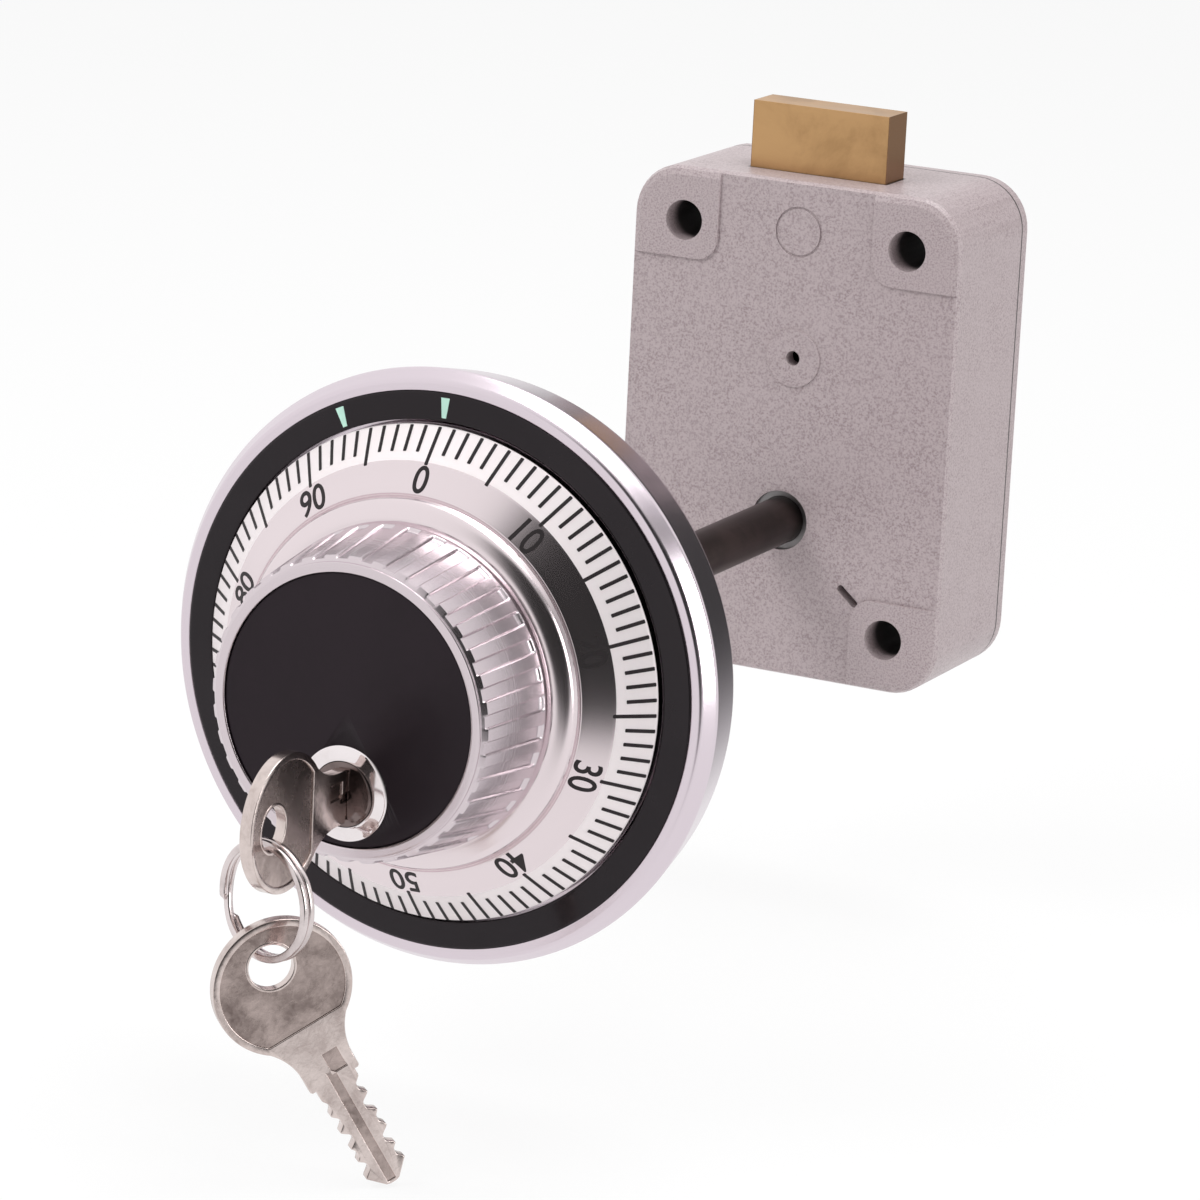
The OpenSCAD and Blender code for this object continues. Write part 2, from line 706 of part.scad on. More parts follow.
module cam_clip() {
    color("dimgray") slab(-dial_d0 + 4, -dial_d0 + 4.7) translate([0, -plug_down]) difference() {
        circle(r = 3.1);
        circle(r = 2.2);
    }
}

// Plan of a key: bow centre at the origin, tip along X
module key_plan() {
    difference() {
        union() {
            circle(r = bow_r);
            translate([bow_r - 2, -4.3]) square([shoulder - bow_r + 2, 8.6]);
            translate([shoulder - 1, -blade_w / 2]) square([blade_len - 1.6, blade_w]);
            translate([shoulder, 0]) polygon([[blade_len - 3, -blade_w / 2], [blade_len, -1], [blade_len, 1], [blade_len - 3, blade_w / 2]]);
        }
        translate([-eye_off, 0]) circle(r = eye_r);
        // Wavy cuts on both edges
        for (i = [0 : 4]) {
            translate([shoulder + 3 + i * 3, blade_w / 2 + 0.9 - 0.25 * (i % 3)]) circle(r = 1.6);
            translate([shoulder + 3 + i * 3, -blade_w / 2 - 1.15 + 0.3 * (i % 2)]) circle(r = 1.6);
        }
        translate([shoulder - 4.4, -1.1]) square([3, 2.2]);
    }
}

module key_solid() {
    color("lightgray") difference() {
        translate([0, 0, -key_t / 2]) linear_extrude(height = key_t) key_plan();
        // Sunk field of the bow and long groove of the blade, on both faces
        for (s = [-1, 1]) {
            translate([0, 0, s * key_t / 2]) linear_extrude(height = 0.5, center = true) intersection() {
                difference() {
                    circle(r = bow_r - 1.3);
                    translate([-eye_off, 0]) circle(r = eye_r + 0.9);
                }
                translate([-bow_r, -bow_r]) square([2 * bow_r - 3.3, 2 * bow_r]);
            }
            translate([shoulder - 0.5, -0.75, s * key_t / 2 - 0.3]) cube([blade_len + 1, 1.5, 0.6]);
        }
    }
}

module key() {
    translate([0, -bow_d, -plug_down]) rotate([90, 0, 90]) key_solid();
}

module split_ring() {
    color("silver") translate([0, -eye_d, loop_z]) rotate([90, 0, loop_yaw])
        rotate_extrude() translate([loop_r - 0.6, -1.1]) square([1.2, 2.2]);
}

module spare_key() {
    c = [0, -eye_d, loop_z - loop_r] + spare_in * hang_dir;
    translate(c) rotate([0, 0, hang_yaw]) rotate([90, 0, 90]) rotate([0, 0, hang_lean - 90])
        translate([eye_off, 0, 0]) key_solid();
}

case_body();
back_cover();
cover_screw(1);  // cover_screw_1
cover_screw(2);  // cover_screw_2
cover_screw(3);  // cover_screw_3
cover_screw(4);  // cover_screw_4
wheel_post();
post_clip();
tension_washer();
spacer(1);  // spacer_1
spacer(2);  // spacer_2
spacer(3);  // spacer_3
bolt();
lever_screw();
lever_spring();
lever();
fence();
drive_cam();
spline_key();
wheel_disc(1);  // wheel_1
wheel_hub(1);  // wheel_hub_1
wheel_disc(2);  // wheel_2
wheel_hub(2);  // wheel_hub_2
wheel_disc(3);  // wheel_3
wheel_hub(3);  // wheel_hub_3
relock_pin();
relock_spring();
spindle();
dial_ring();
index_band();
dial();
knob();
knob_screw(1);  // knob_screw_1
knob_screw(2);  // knob_screw_2
knob_screw(3);  // knob_screw_3
knob_cap();
plug_housing();
plug();
lock_cam();
cam_clip();
key();
split_ring();
spare_key();
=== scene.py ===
# %% [markdown]
# # A combination safe lock
#
# A safe lock is two things joined by a rod. Inside the door sits a cast case with a brass bolt.
# Outside sits a numbered dial in a metal ring, with a fluted knob to turn it by. This lock also
# has a small key plug in the knob, with one key in it and a second one hanging from a split ring.
#
# The imported model gives every piece its true size and place, so the first step loads it and
# counts its pieces. Everything after that is finish: rounder edges, true curves, marks and
# metals.

import math

import bmesh
import bpy
import numpy as np
from mathutils import Matrix, Vector


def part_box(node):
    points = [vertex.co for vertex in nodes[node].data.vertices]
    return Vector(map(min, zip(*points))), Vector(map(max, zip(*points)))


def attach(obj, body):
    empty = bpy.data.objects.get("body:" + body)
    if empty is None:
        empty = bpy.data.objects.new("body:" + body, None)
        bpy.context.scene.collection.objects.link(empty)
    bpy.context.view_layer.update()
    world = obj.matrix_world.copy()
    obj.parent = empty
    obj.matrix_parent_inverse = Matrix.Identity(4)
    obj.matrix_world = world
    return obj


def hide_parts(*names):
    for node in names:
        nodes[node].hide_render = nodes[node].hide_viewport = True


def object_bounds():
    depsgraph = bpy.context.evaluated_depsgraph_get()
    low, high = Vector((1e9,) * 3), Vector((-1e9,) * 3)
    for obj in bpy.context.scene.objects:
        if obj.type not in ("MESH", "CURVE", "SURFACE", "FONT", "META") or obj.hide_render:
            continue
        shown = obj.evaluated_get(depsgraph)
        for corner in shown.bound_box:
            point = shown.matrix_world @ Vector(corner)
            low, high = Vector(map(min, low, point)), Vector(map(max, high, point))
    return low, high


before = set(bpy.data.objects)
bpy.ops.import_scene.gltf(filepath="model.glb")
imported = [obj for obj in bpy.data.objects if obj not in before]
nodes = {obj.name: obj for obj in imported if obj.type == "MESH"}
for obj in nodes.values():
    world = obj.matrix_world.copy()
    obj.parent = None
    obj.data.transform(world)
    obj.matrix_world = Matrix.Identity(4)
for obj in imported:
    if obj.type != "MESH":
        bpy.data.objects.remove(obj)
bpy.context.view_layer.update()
MM = 0.001
print("pieces in the frame:", len(nodes))

# %% [markdown]
# ## Measuring the frame
#
# Sizes that the model already holds are read from the boxes of its pieces, in millimetres. Each
# distance in front of the lock case is a positive number, because that's how a dial is measured
# on the bench, and the frame's own Y axis runs the other way.

# %% Read sizes from the frame


def box_mm(name):
    """The lowest and highest corner of a piece, in millimetres."""
    low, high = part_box(name)
    return np.array(low) / MM, np.array(high) / MM


def front_of(name):
    """How far the nearest face of a piece stands in front of the lock case."""
    return -box_mm(name)[0][1]


def back_of(name):
    """How far the rearmost face of a piece stands in front of the lock case."""
    return -box_mm(name)[1][1]


def radius_of(name):
    """Half the width of a round piece."""
    low, high = box_mm(name)
    return (high[0] - low[0]) / 2


ring_back = back_of("dial_ring")
ring_front = front_of("dial_ring")
ring_r = radius_of("dial_ring")
band_r = radius_of("index_band")
dial_r = radius_of("dial")
knob_r = radius_of("knob")
knob_front = front_of("knob")
cap_r = radius_of("knob_cap")
cap_front = front_of("knob_cap")
face_r = radius_of("plug_housing")
face_front = front_of("plug_housing")
plug_z = (box_mm("plug")[0][2] + box_mm("plug")[1][2]) / 2
spindle_r = radius_of("spindle")
print(f"ring {ring_r:.1f}, dial {dial_r:.1f}, knob {knob_r:.1f}, plug axis at {plug_z:.1f} mm")

# %% [markdown]
# ## Turned parts
#
# Ring, dial, knob and spindle all come off a lathe, so each is one profile carried round the
# spindle axis. A profile is a short list of corners, and real corners are never sharp: a small
# curve catches the light. Each corner is therefore replaced by a short arc, with one extra point
# on each side that keeps the flat faces flat when they're shaded.

# %% Round the corners of a profile


def soften(corners, radius=0.25, steps=4, closed=True):
    """Replaces each corner by a quadratic arc.

    On an arc, the point is (1-t)^2 times its start, plus 2t(1-t) times the corner, plus t^2 times
    its end, with t from 0 to 1.
    """
    p = np.array([c[:2] for c in corners], float)
    own = [c[2] if len(c) > 2 else radius for c in corners]
    t = np.linspace(0, 1, steps + 1)[:, None]
    out = []
    for i, c in enumerate(p):
        if not closed and i in (0, len(p) - 1):
            out.append(c[None])
            continue
        before, after = p[i - 1] - c, p[(i + 1) % len(p)] - c
        la, lb = np.linalg.norm(before), np.linalg.norm(after)
        ra, rb = min(own[i], 0.42 * la), min(own[i], 0.42 * lb)
        a, b = c + before / la * ra, c + after / lb * rb
        arc = (1 - t) ** 2 * a + 2 * t * (1 - t) * c + t**2 * b
        lead = c + before / la * (ra + 0.05 * la)
        tail = c + after / lb * (rb + 0.05 * lb)
        out.append(np.vstack([lead, arc, tail]))
    return np.vstack(out)


# %% [markdown]
# A mesh is built from a grid of points in one go. The grid may close on itself round the axis,
# along the profile, or both. Faces have to point outward, and the sign of the enclosed volume
# tells which way they point, so it is measured and the faces are turned if needed.

# %% Build a mesh from a grid of points


def finish_mesh(name, verts, faces, smooth=38):
    """A mesh object at the origin, with outward faces, from points in mm and corner indices."""
    mesh = bpy.data.meshes.new(name)
    mesh.from_pydata((verts * MM).tolist(), [], faces)
    bm = bmesh.new()
    bm.from_mesh(mesh)
    bmesh.ops.remove_doubles(bm, verts=bm.verts, dist=1e-7)
    bmesh.ops.dissolve_degenerate(bm, edges=bm.edges, dist=1e-8)
    bmesh.ops.recalc_face_normals(bm, faces=bm.faces)
    if bm.calc_volume(signed=True) < 0:
        bmesh.ops.reverse_faces(bm, faces=bm.faces)
    bm.to_mesh(mesh)
    bm.free()
    mesh.polygons.foreach_set("use_smooth", np.ones(len(mesh.polygons), bool))
    mesh.set_sharp_from_angle(angle=math.radians(smooth))
    obj = bpy.data.objects.new(name, mesh)
    bpy.context.scene.collection.objects.link(obj)
    return obj


def grid_faces(n, m, close_u, close_v, start=0):
    """Corner indices of the quads of an n by m grid of points, as an array."""
    i = np.arange(n if close_u else n - 1)[:, None]
    j = np.arange(m if close_v else m - 1)[None, :]
    i2, j2 = (i + 1) % n, (j + 1) % m
    quads = np.stack(np.broadcast_arrays(i * m + j, i2 * m + j, i2 * m + j2, i * m + j2), -1)
    return quads.reshape(-1, 4) + start


def surface(name, points, close_u=False, close_v=False, smooth=38):
    """A surface through a grid of points, an array of n by m by 3 in millimetres."""
    n, m = points.shape[:2]
    faces = grid_faces(n, m, close_u, close_v)
    return finish_mesh(name, points.reshape(-1, 3), faces.tolist(), smooth)


def turn(name, profile, segments=256, centre=(0, 0), closed=True, smooth=38):
    """A turned part: at angle a, x is radius times sin a, z is radius times cos a, y is minus distance."""
    a = np.linspace(0, 2 * math.pi, segments, endpoint=False)[:, None]
    r, d = profile[None, :, 0], profile[None, :, 1]
    points = np.stack([centre[0] + r * np.sin(a), -d + 0 * a, centre[1] + r * np.cos(a)], -1)
    return surface(name, points, True, closed, smooth)


def report(obj):
    """Prints how many faces a finished piece has."""
    print(f"{obj.name}: {len(obj.data.polygons)} faces")
    return obj


# %% [markdown]
# ## Effects shared by several finishes
#
# Three effects come back in many of the finishes, so each is a node group with named inputs:
# marks left by a lathe tool round the axis, straight brush marks along one direction, and soft
# uneven clouds as left by handling and age. A group puts out plain values, which the material
# then sends to roughness, colour or bump.

# %% Start a node group


def new_group(name, inputs, outputs):
    """A shader node group with float or vector sockets, and its two end nodes."""
    tree = bpy.data.node_groups.new(name, "ShaderNodeTree")
    for label, kind, value in inputs:
        sock = tree.interface.new_socket(label, in_out="INPUT", socket_type=kind)
        if value is not None:
            sock.default_value = value
    for label, kind in outputs:
        tree.interface.new_socket(label, in_out="OUTPUT", socket_type=kind)
    start = tree.nodes.new("NodeGroupInput")
    end = tree.nodes.new("NodeGroupOutput")
    return tree, start, end


def node(tree, kind, **values):
    """A node with some of its properties and sockets set: sockets by name, with _ for a space."""
    n = tree.nodes.new(kind)
    for key, value in values.items():
        if hasattr(n, key):
            setattr(n, key, value)
        else:
            n.inputs[key.replace("_", " ")].default_value = value
    return n


def maths(tree, operation, a, b=None, clamp=False):
    """A Math node fed by sockets or numbers; returns its output."""
    n = tree.nodes.new("ShaderNodeMath")
    n.operation = operation
    n.use_clamp = clamp
    for i, value in enumerate((a, b)):
        if value is None:
            continue
        if isinstance(value, (int, float)):
            n.inputs[i].default_value = value
        else:
            tree.links.new(value, n.inputs[i])
    return n.outputs[0]


def length_of(tree, a, b):
    """The square root of a times a plus b times b."""
    squares = maths(tree, "ADD", maths(tree, "MULTIPLY", a, a), maths(tree, "MULTIPLY", b, b))
    return maths(tree, "SQRT", squares)


# %% [markdown]
# A lathe leaves hundreds of fine rings round the spindle axis. They could be modelled as grooves
# or drawn as an image, but noise that reads only the radius and the depth gives endless rings at
# no cost in faces. The group also gives the direction of the marks, which stretches highlights
# across them, as on every turned dial.

# %% Lathe marks round the Y axis
turned_marks, start, end = new_group(
    "lathe marks",
    [
        ("Vector", "NodeSocketVector", None),
        ("Pitch", "NodeSocketFloat", 0.12),
        ("Unevenness", "NodeSocketFloat", 0.5),
    ],
    [("Mark", "NodeSocketFloat"), ("Tangent", "NodeSocketVector")],
)
split = node(turned_marks, "ShaderNodeSeparateXYZ")
turned_marks.links.new(start.outputs["Vector"], split.inputs[0])
x, y, z = split.outputs
radius = length_of(turned_marks, x, z)
# Rings are thin in radius and depth and long round the axis, so noise reads only those two
ring_coord = node(turned_marks, "ShaderNodeCombineXYZ")
turned_marks.links.new(radius, ring_coord.inputs[0])
turned_marks.links.new(y, ring_coord.inputs[1])
scale = maths(turned_marks, "DIVIDE", 1000.0, start.outputs["Pitch"])
rings = node(turned_marks, "ShaderNodeTexNoise", Detail=3.0, Roughness=0.7)
turned_marks.links.new(ring_coord.outputs[0], rings.inputs["Vector"])
turned_marks.links.new(scale, rings.inputs["Scale"])
wide = node(turned_marks, "ShaderNodeTexNoise", Scale=260.0, Detail=2.0)
turned_marks.links.new(ring_coord.outputs[0], wide.inputs["Vector"])
blend = node(turned_marks, "ShaderNodeMix", data_type="FLOAT")
turned_marks.links.new(start.outputs["Unevenness"], blend.inputs[0])
turned_marks.links.new(rings.outputs[0], blend.inputs[2])
turned_marks.links.new(wide.outputs[0], blend.inputs[3])
turned_marks.links.new(blend.outputs[0], end.inputs["Mark"])
# The marks run round the axis, at right angles to the radius
along = node(turned_marks, "ShaderNodeCombineXYZ")
turned_marks.links.new(z, along.inputs[0])
turned_marks.links.new(maths(turned_marks, "MULTIPLY", x, -1.0), along.inputs[2])
unit = node(turned_marks, "ShaderNodeVectorMath", operation="NORMALIZE")
turned_marks.links.new(along.outputs[0], unit.inputs[0])
turned_marks.links.new(unit.outputs[0], end.inputs["Tangent"])

# %% [markdown]
# A filed or brushed part shows short straight scratches. Noise on stretched coordinates draws
# them: where a direction is squeezed to a small share of its length, each grain becomes a streak
# that way. The stretch is an input, so that each part is brushed along its own length.

# %% Straight brush marks
brush_marks, start, end = new_group(
    "brush marks",
    [
        ("Vector", "NodeSocketVector", None),
        ("Stretch", "NodeSocketVector", (1.0, 1.0, 1.0)),
        ("Scale", "NodeSocketFloat", 900.0),
    ],
    [("Mark", "NodeSocketFloat")],
)
pull = node(brush_marks, "ShaderNodeVectorMath", operation="MULTIPLY")
brush_marks.links.new(start.outputs["Vector"], pull.inputs[0])
brush_marks.links.new(start.outputs["Stretch"], pull.inputs[1])
grain = node(brush_marks, "ShaderNodeTexNoise", Detail=4.0, Roughness=0.65)
brush_marks.links.new(pull.outputs[0], grain.inputs["Vector"])
brush_marks.links.new(start.outputs["Scale"], grain.inputs["Scale"])
brush_marks.links.new(grain.outputs[0], end.inputs["Mark"])

# %% [markdown]
# Fingers, oil and time leave soft patches that aren't quite the colour or the gloss of the rest.
# Painting them by hand would tie them to one part. A distorted noise with an adjustable threshold
# gives each finish its own patches from the same few nodes.

# %% Clouds of handling and age
clouds, start, end = new_group(
    "handling clouds",
    [
        ("Vector", "NodeSocketVector", None),
        ("Scale", "NodeSocketFloat", 90.0),
        ("Low", "NodeSocketFloat", 0.4),
        ("High", "NodeSocketFloat", 0.6),
    ],
    [("Mask", "NodeSocketFloat")],
)
cloud = node(clouds, "ShaderNodeTexNoise", Detail=6.0, Roughness=0.62, Distortion=0.4)
clouds.links.new(start.outputs["Vector"], cloud.inputs["Vector"])
clouds.links.new(start.outputs["Scale"], cloud.inputs["Scale"])
spread = node(clouds, "ShaderNodeMapRange", interpolation_type="SMOOTHSTEP")
clouds.links.new(cloud.outputs[0], spread.inputs["Value"])
clouds.links.new(start.outputs["Low"], spread.inputs["From Min"])
clouds.links.new(start.outputs["High"], spread.inputs["From Max"])
clouds.links.new(spread.outputs[0], end.inputs["Mask"])
print("node groups:", [g.name for g in bpy.data.node_groups])

# %% [markdown]
# ## The finishes
#
# Each finish starts from a Principled shader with its plain numbers on the shader's own sockets.
# Then the groups vary colour, roughness and bump. All of them read Object coordinates, which stay
# with the piece when it moves.

# %% Helpers for a finish


def new_finish(name, color, roughness, metallic=0.0, **sockets):
    """A material with a Principled shader; returns the material, its tree and the shader."""
    mat = bpy.data.materials.new(name)
    mat.use_nodes = True
    tree = mat.node_tree
    shader = tree.nodes["Principled BSDF"]
    shader.inputs["Base Color"].default_value = (*color, 1)
    shader.inputs["Roughness"].default_value = roughness
    shader.inputs["Metallic"].default_value = metallic
    for key, value in sockets.items():
        shader.inputs[key.replace("_", " ")].default_value = value
    return mat, tree, shader


def effect(tree, group, coord, **values):
    """Places a shared effect, feeds it Object coordinates and sets its numbers."""
    n = tree.nodes.new("ShaderNodeGroup")
    n.node_tree = group
    tree.links.new(coord.outputs["Object"], n.inputs["Vector"])
    for key, value in values.items():
        n.inputs[key.replace("_", " ")].default_value = value
    return n


def between(tree, mask, low, high):
    """A number that runs from low to high as the mask runs from 0 to 1."""
    n = node(tree, "ShaderNodeMapRange", To_Min=low, To_Max=high)
    tree.links.new(mask, n.inputs["Value"])
    return n.outputs[0]


def color_between(tree, mask, low, high):
    """A colour that runs from low to high as the mask runs from 0 to 1."""
    n = node(tree, "ShaderNodeMix", data_type="RGBA")
    tree.links.new(mask, n.inputs[0])
    n.inputs[6].default_value = (*low, 1)
    n.inputs[7].default_value = (*high, 1)
    return n.outputs[2]


def bump(tree, shader, height, strength, distance):
    """Sends a height to the shader's normal; distance is in metres."""
    n = node(tree, "ShaderNodeBump", Strength=strength, Distance=distance)
    tree.links.new(height, n.inputs["Height"])
    tree.links.new(n.outputs[0], shader.inputs["Normal"])


# %% [markdown]
# The ring, the numbers, the bevel and the knob are one aluminium at four stages of polish, and the
# bolt, the spindle and the works are brushed brass and steel. One function per kind of working
# makes them all, since only colour, gloss and stretch differ. The bevel scatters light much as
# paint does, so it counts as metal only in part. The bolt's sides get a darker colour of their
# own, which is painted shade.

# %% Turned and brushed metals


def turned_metal(name, color, rough_low, rough_high, anisotropy, pitch=0.12, depth=0.000004):
    """Metal with fine lathe rings round the Y axis, which stretch every highlight across them."""
    mat, tree, shader = new_finish(name, color, rough_low, 1.0, Anisotropic=anisotropy)
    coord = node(tree, "ShaderNodeTexCoord")
    marks = effect(tree, turned_marks, coord, Pitch=pitch)
    tree.links.new(between(tree, marks.outputs["Mark"], rough_low, rough_high), shader.inputs["Roughness"])
    tree.links.new(marks.outputs["Tangent"], shader.inputs["Tangent"])
    shade = color_between(tree, marks.outputs["Mark"], [c * 0.9 for c in color], color)
    tree.links.new(shade, shader.inputs["Base Color"])
    bump(tree, shader, marks.outputs["Mark"], 0.35, depth)
    return mat


ring_metal = turned_metal("satin ring aluminium", (0.78, 0.69, 0.75), 0.16, 0.28, 0.5)
number_metal = turned_metal("turned number band", (0.85, 0.75, 0.775), 0.14, 0.25, 0.6)
scale_metal = turned_metal("frosted scale bevel", (0.92, 0.85, 0.86), 0.42, 0.55, 0.3)
scale_metal.node_tree.nodes["Principled BSDF"].inputs["Metallic"].default_value = 0.35
knob_metal = turned_metal("satin knob aluminium", (0.74, 0.655, 0.69), 0.2, 0.32, 0.3)


def brushed_metal(name, color, dark, stretch, rough_low, rough_high, depth=0.00001, cloud_scale=60.0):
    """Metal with straight brush marks and a few darker clouds from handling."""
    mat, tree, shader = new_finish(name, color, rough_low, 1.0, Anisotropic=0.3)
    coord = node(tree, "ShaderNodeTexCoord")
    marks = effect(tree, brush_marks, coord, Stretch=stretch)
    stain = effect(tree, clouds, coord, Scale=cloud_scale, Low=0.42, High=0.68)
    tree.links.new(color_between(tree, stain.outputs[0], color, dark), shader.inputs["Base Color"])
    tree.links.new(between(tree, marks.outputs[0], rough_low, rough_high), shader.inputs["Roughness"])
    bump(tree, shader, marks.outputs[0], 0.4, depth)
    return mat


def dull_sides(mat, half, color):
    """Paints shade on the sides of a bar: half mm or more from its middle along X, it turns darker."""
    tree = mat.node_tree
    shader = tree.nodes["Principled BSDF"]
    split = node(tree, "ShaderNodeSeparateXYZ")
    coord = node(tree, "ShaderNodeTexCoord")
    tree.links.new(coord.outputs["Object"], split.inputs[0])
    step = node(tree, "ShaderNodeMapRange")
    step.inputs["From Min"].default_value = (half - 0.08) * MM
    step.inputs["From Max"].default_value = half * MM
    tree.links.new(maths(tree, "ABSOLUTE", split.outputs[0]), step.inputs["Value"])
    mix = node(tree, "ShaderNodeMix", data_type="RGBA")
    tree.links.new(step.outputs[0], mix.inputs[0])
    tree.links.new(shader.inputs["Base Color"].links[0].from_socket, mix.inputs[6])
    mix.inputs[7].default_value = (*color, 1)
    tree.links.new(mix.outputs[2], shader.inputs["Base Color"])


bolt_brass = brushed_metal(
    "brushed brass bolt", (0.58, 0.35, 0.165), (0.42, 0.245, 0.11), (0.06, 1.0, 1.0), 0.26, 0.42
)
# Painted shade: the bolt's sides are coloured darker.
dull_sides(bolt_brass, 12.5, (0.28, 0.155, 0.08))
inner_brass = brushed_metal("inner brass", (0.8, 0.6, 0.3), (0.62, 0.44, 0.2), (1.0, 0.1, 1.0), 0.28, 0.45)
wheel_alloy = brushed_metal("wheel alloy", (0.74, 0.71, 0.66), (0.6, 0.57, 0.52), (1.0, 0.2, 1.0), 0.3, 0.45)
spindle_steel = brushed_metal(
    "bronzed spindle steel", (0.07, 0.052, 0.048), (0.042, 0.032, 0.03), (1.0, 0.03, 1.0), 0.3, 0.42
)
dark_steel = brushed_metal("oiled steel", (0.28, 0.27, 0.27), (0.16, 0.15, 0.15), (1.0, 0.2, 1.0), 0.3, 0.45)
wire_steel = brushed_metal("bright wire", (0.78, 0.7, 0.7), (0.52, 0.45, 0.44), (1.0, 1.0, 1.0), 0.16, 0.3)

# %% [markdown]
# The case is zinc with a fine speckled paint. Its colour also holds dark places: the joint line of
# the cover, and painted shade in the narrow gap round the bolt and deep in the screw holes and the
# spindle's hole.

# %% Speckled case paint
seam = box_mm("back_cover")[0][1]
case_low, case_high = box_mm("case_body")
hole_x, hole_high, hole_low = 20.65, case_high[2] - 9.1, case_low[2] + 9.2

case_paint, tree, shader = new_finish(
    "speckled case paint", (0.4, 0.375, 0.37), 0.42, Coat_Weight=0.15, Coat_Roughness=0.3
)
coord = node(tree, "ShaderNodeTexCoord")
fine = node(tree, "ShaderNodeTexNoise", Scale=3000.0, Detail=2.0, Roughness=0.6)
tree.links.new(coord.outputs["Object"], fine.inputs["Vector"])
specks = node(tree, "ShaderNodeMapRange", From_Min=0.44, From_Max=0.66)
tree.links.new(fine.outputs[0], specks.inputs["Value"])
patch = effect(tree, clouds, coord, Scale=140.0, Low=0.3, High=0.7)
soft = maths(tree, "MULTIPLY", specks.outputs[0], between(tree, patch.outputs[0], 0.65, 1.0))
paint_color = color_between(tree, soft, (0.475, 0.4, 0.41), (0.29, 0.225, 0.235))


# %% [markdown]
# The dark places are worked out from distances, so they need no drawing. They come from one
# helper that is 1 within a distance and falls to 0 just beyond it.
# The shade in the narrow gap and the deep holes is hard for a short render to sample well, so it is
# painted: the paint itself darkens there, as it does along the dark joint line.

# %% Darken the joint line and paint shade into the gap and holes


def gap(tree, value, centre, full, zero):
    """1 where a value in metres lies within full mm of a centre, 0 beyond zero mm of it."""
    away = maths(tree, "ABSOLUTE", maths(tree, "SUBTRACT", value, centre * MM))
    n = node(tree, "ShaderNodeMapRange", To_Min=1.0, To_Max=0.0)
    n.inputs["From Min"].default_value = full * MM
    n.inputs["From Max"].default_value = zero * MM
    tree.links.new(away, n.inputs["Value"])
    return n.outputs[0]


split = node(tree, "ShaderNodeSeparateXYZ")
tree.links.new(coord.outputs["Object"], split.inputs[0])
x, y, z = split.outputs
across = maths(tree, "ABSOLUTE", x)
joint = gap(tree, y, seam, 0.1, 0.3)
half_w, half_t, bolt_middle = 12.55, 3.6, 11.65
# Painted shade in the narrow gap round the bolt.
beside = gap(tree, x, 0, half_w + 0.25, half_w + 0.5)
behind = gap(tree, y, bolt_middle, half_t + 0.25, half_t + 0.5)
bolt_gap_painted_shade = maths(tree, "MULTIPLY", beside, behind)
# Painted shade deep in the screw holes.
from_high = maths(tree, "ABSOLUTE", maths(tree, "SUBTRACT", z, hole_high * MM))
from_low = maths(tree, "ABSOLUTE", maths(tree, "SUBTRACT", z, hole_low * MM))
from_hole = maths(tree, "MINIMUM", from_high, from_low)
sideways = maths(tree, "SUBTRACT", across, hole_x * MM)
in_hole = gap(tree, length_of(tree, sideways, from_hole), 0, 3.45, 3.6)
deep = node(tree, "ShaderNodeMapRange", From_Min=0.0026, From_Max=0.005)
tree.links.new(y, deep.inputs["Value"])
# Painted shade just inside the spindle's hole.
in_entry = gap(tree, length_of(tree, x, z), 0, 5.3, 5.5)
just_in = node(tree, "ShaderNodeMapRange", From_Min=0.0006, From_Max=0.0016)
tree.links.new(y, just_in.inputs["Value"])
spindle_hole_painted_shade = maths(tree, "MULTIPLY", in_entry, just_in.outputs[0])
holes_painted_shade = maths(tree, "MAXIMUM", spindle_hole_painted_shade, maths(tree, "MULTIPLY", in_hole, deep.outputs[0]))
# The dark joint line, together with the painted shade of the gap and the holes.
dark = maths(tree, "MAXIMUM", joint, maths(tree, "MAXIMUM", bolt_gap_painted_shade, holes_painted_shade))
shade = node(tree, "ShaderNodeMix", data_type="RGBA")
tree.links.new(maths(tree, "MULTIPLY", dark, 0.93), shade.inputs[0])
tree.links.new(paint_color, shade.inputs[6])
# Near-black colour of the joint line and of the painted shade.
shade.inputs[7].default_value = (0.012, 0.011, 0.011, 1)
tree.links.new(shade.outputs[2], shader.inputs["Base Color"])
pebble = node(tree, "ShaderNodeTexNoise", Scale=1500.0, Detail=3.0)
tree.links.new(coord.outputs["Object"], pebble.inputs["Vector"])
bump(tree, shader, pebble.outputs[0], 0.5, 0.00004)

# %% [markdown]
# Four more finishes complete the front. The index band and the knob's cap are black lacquer, the
# key plug is chromed, and the keys are nickel that has worn to brown-grey where fingers rub. Even
# black isn't flat: clouds change its gloss a little, and a low reflectance keeps it deep in a
# white room.

# %% Black enamel, cap, chrome and nickel


def black_finish(name, color, rough_low, rough_high, coat):
    """Black lacquer: nearly even, with faint clouds that change its gloss."""
    mat, tree, shader = new_finish(name, color, rough_low, Coat_Weight=coat, Coat_Roughness=0.05)
    shader.inputs["Specular IOR Level"].default_value = 0.25
    shader.inputs["Specular Tint"].default_value = (1, 0.84, 0.94, 1)
    coord = node(tree, "ShaderNodeTexCoord")
    smear = effect(tree, clouds, coord, Scale=45.0)
    tree.links.new(between(tree, smear.outputs[0], rough_low, rough_high), shader.inputs["Roughness"])
    dust = color_between(tree, smear.outputs[0], color, [c * 1.35 for c in color])
    tree.links.new(dust, shader.inputs["Base Color"])
    return mat


band_black = black_finish("index band enamel", (0.007, 0.006, 0.0065), 0.1, 0.18, 0.12)
cap_black = black_finish("knob cap lacquer", (0.009, 0.006, 0.008), 0.38, 0.46, 0.03)
ink_black = black_finish("black mark paint", (0.018, 0.016, 0.016), 0.4, 0.5, 0.0)
mint_paint = black_finish("pale green index paint", (0.52, 0.8, 0.68), 0.5, 0.6, 0.0)


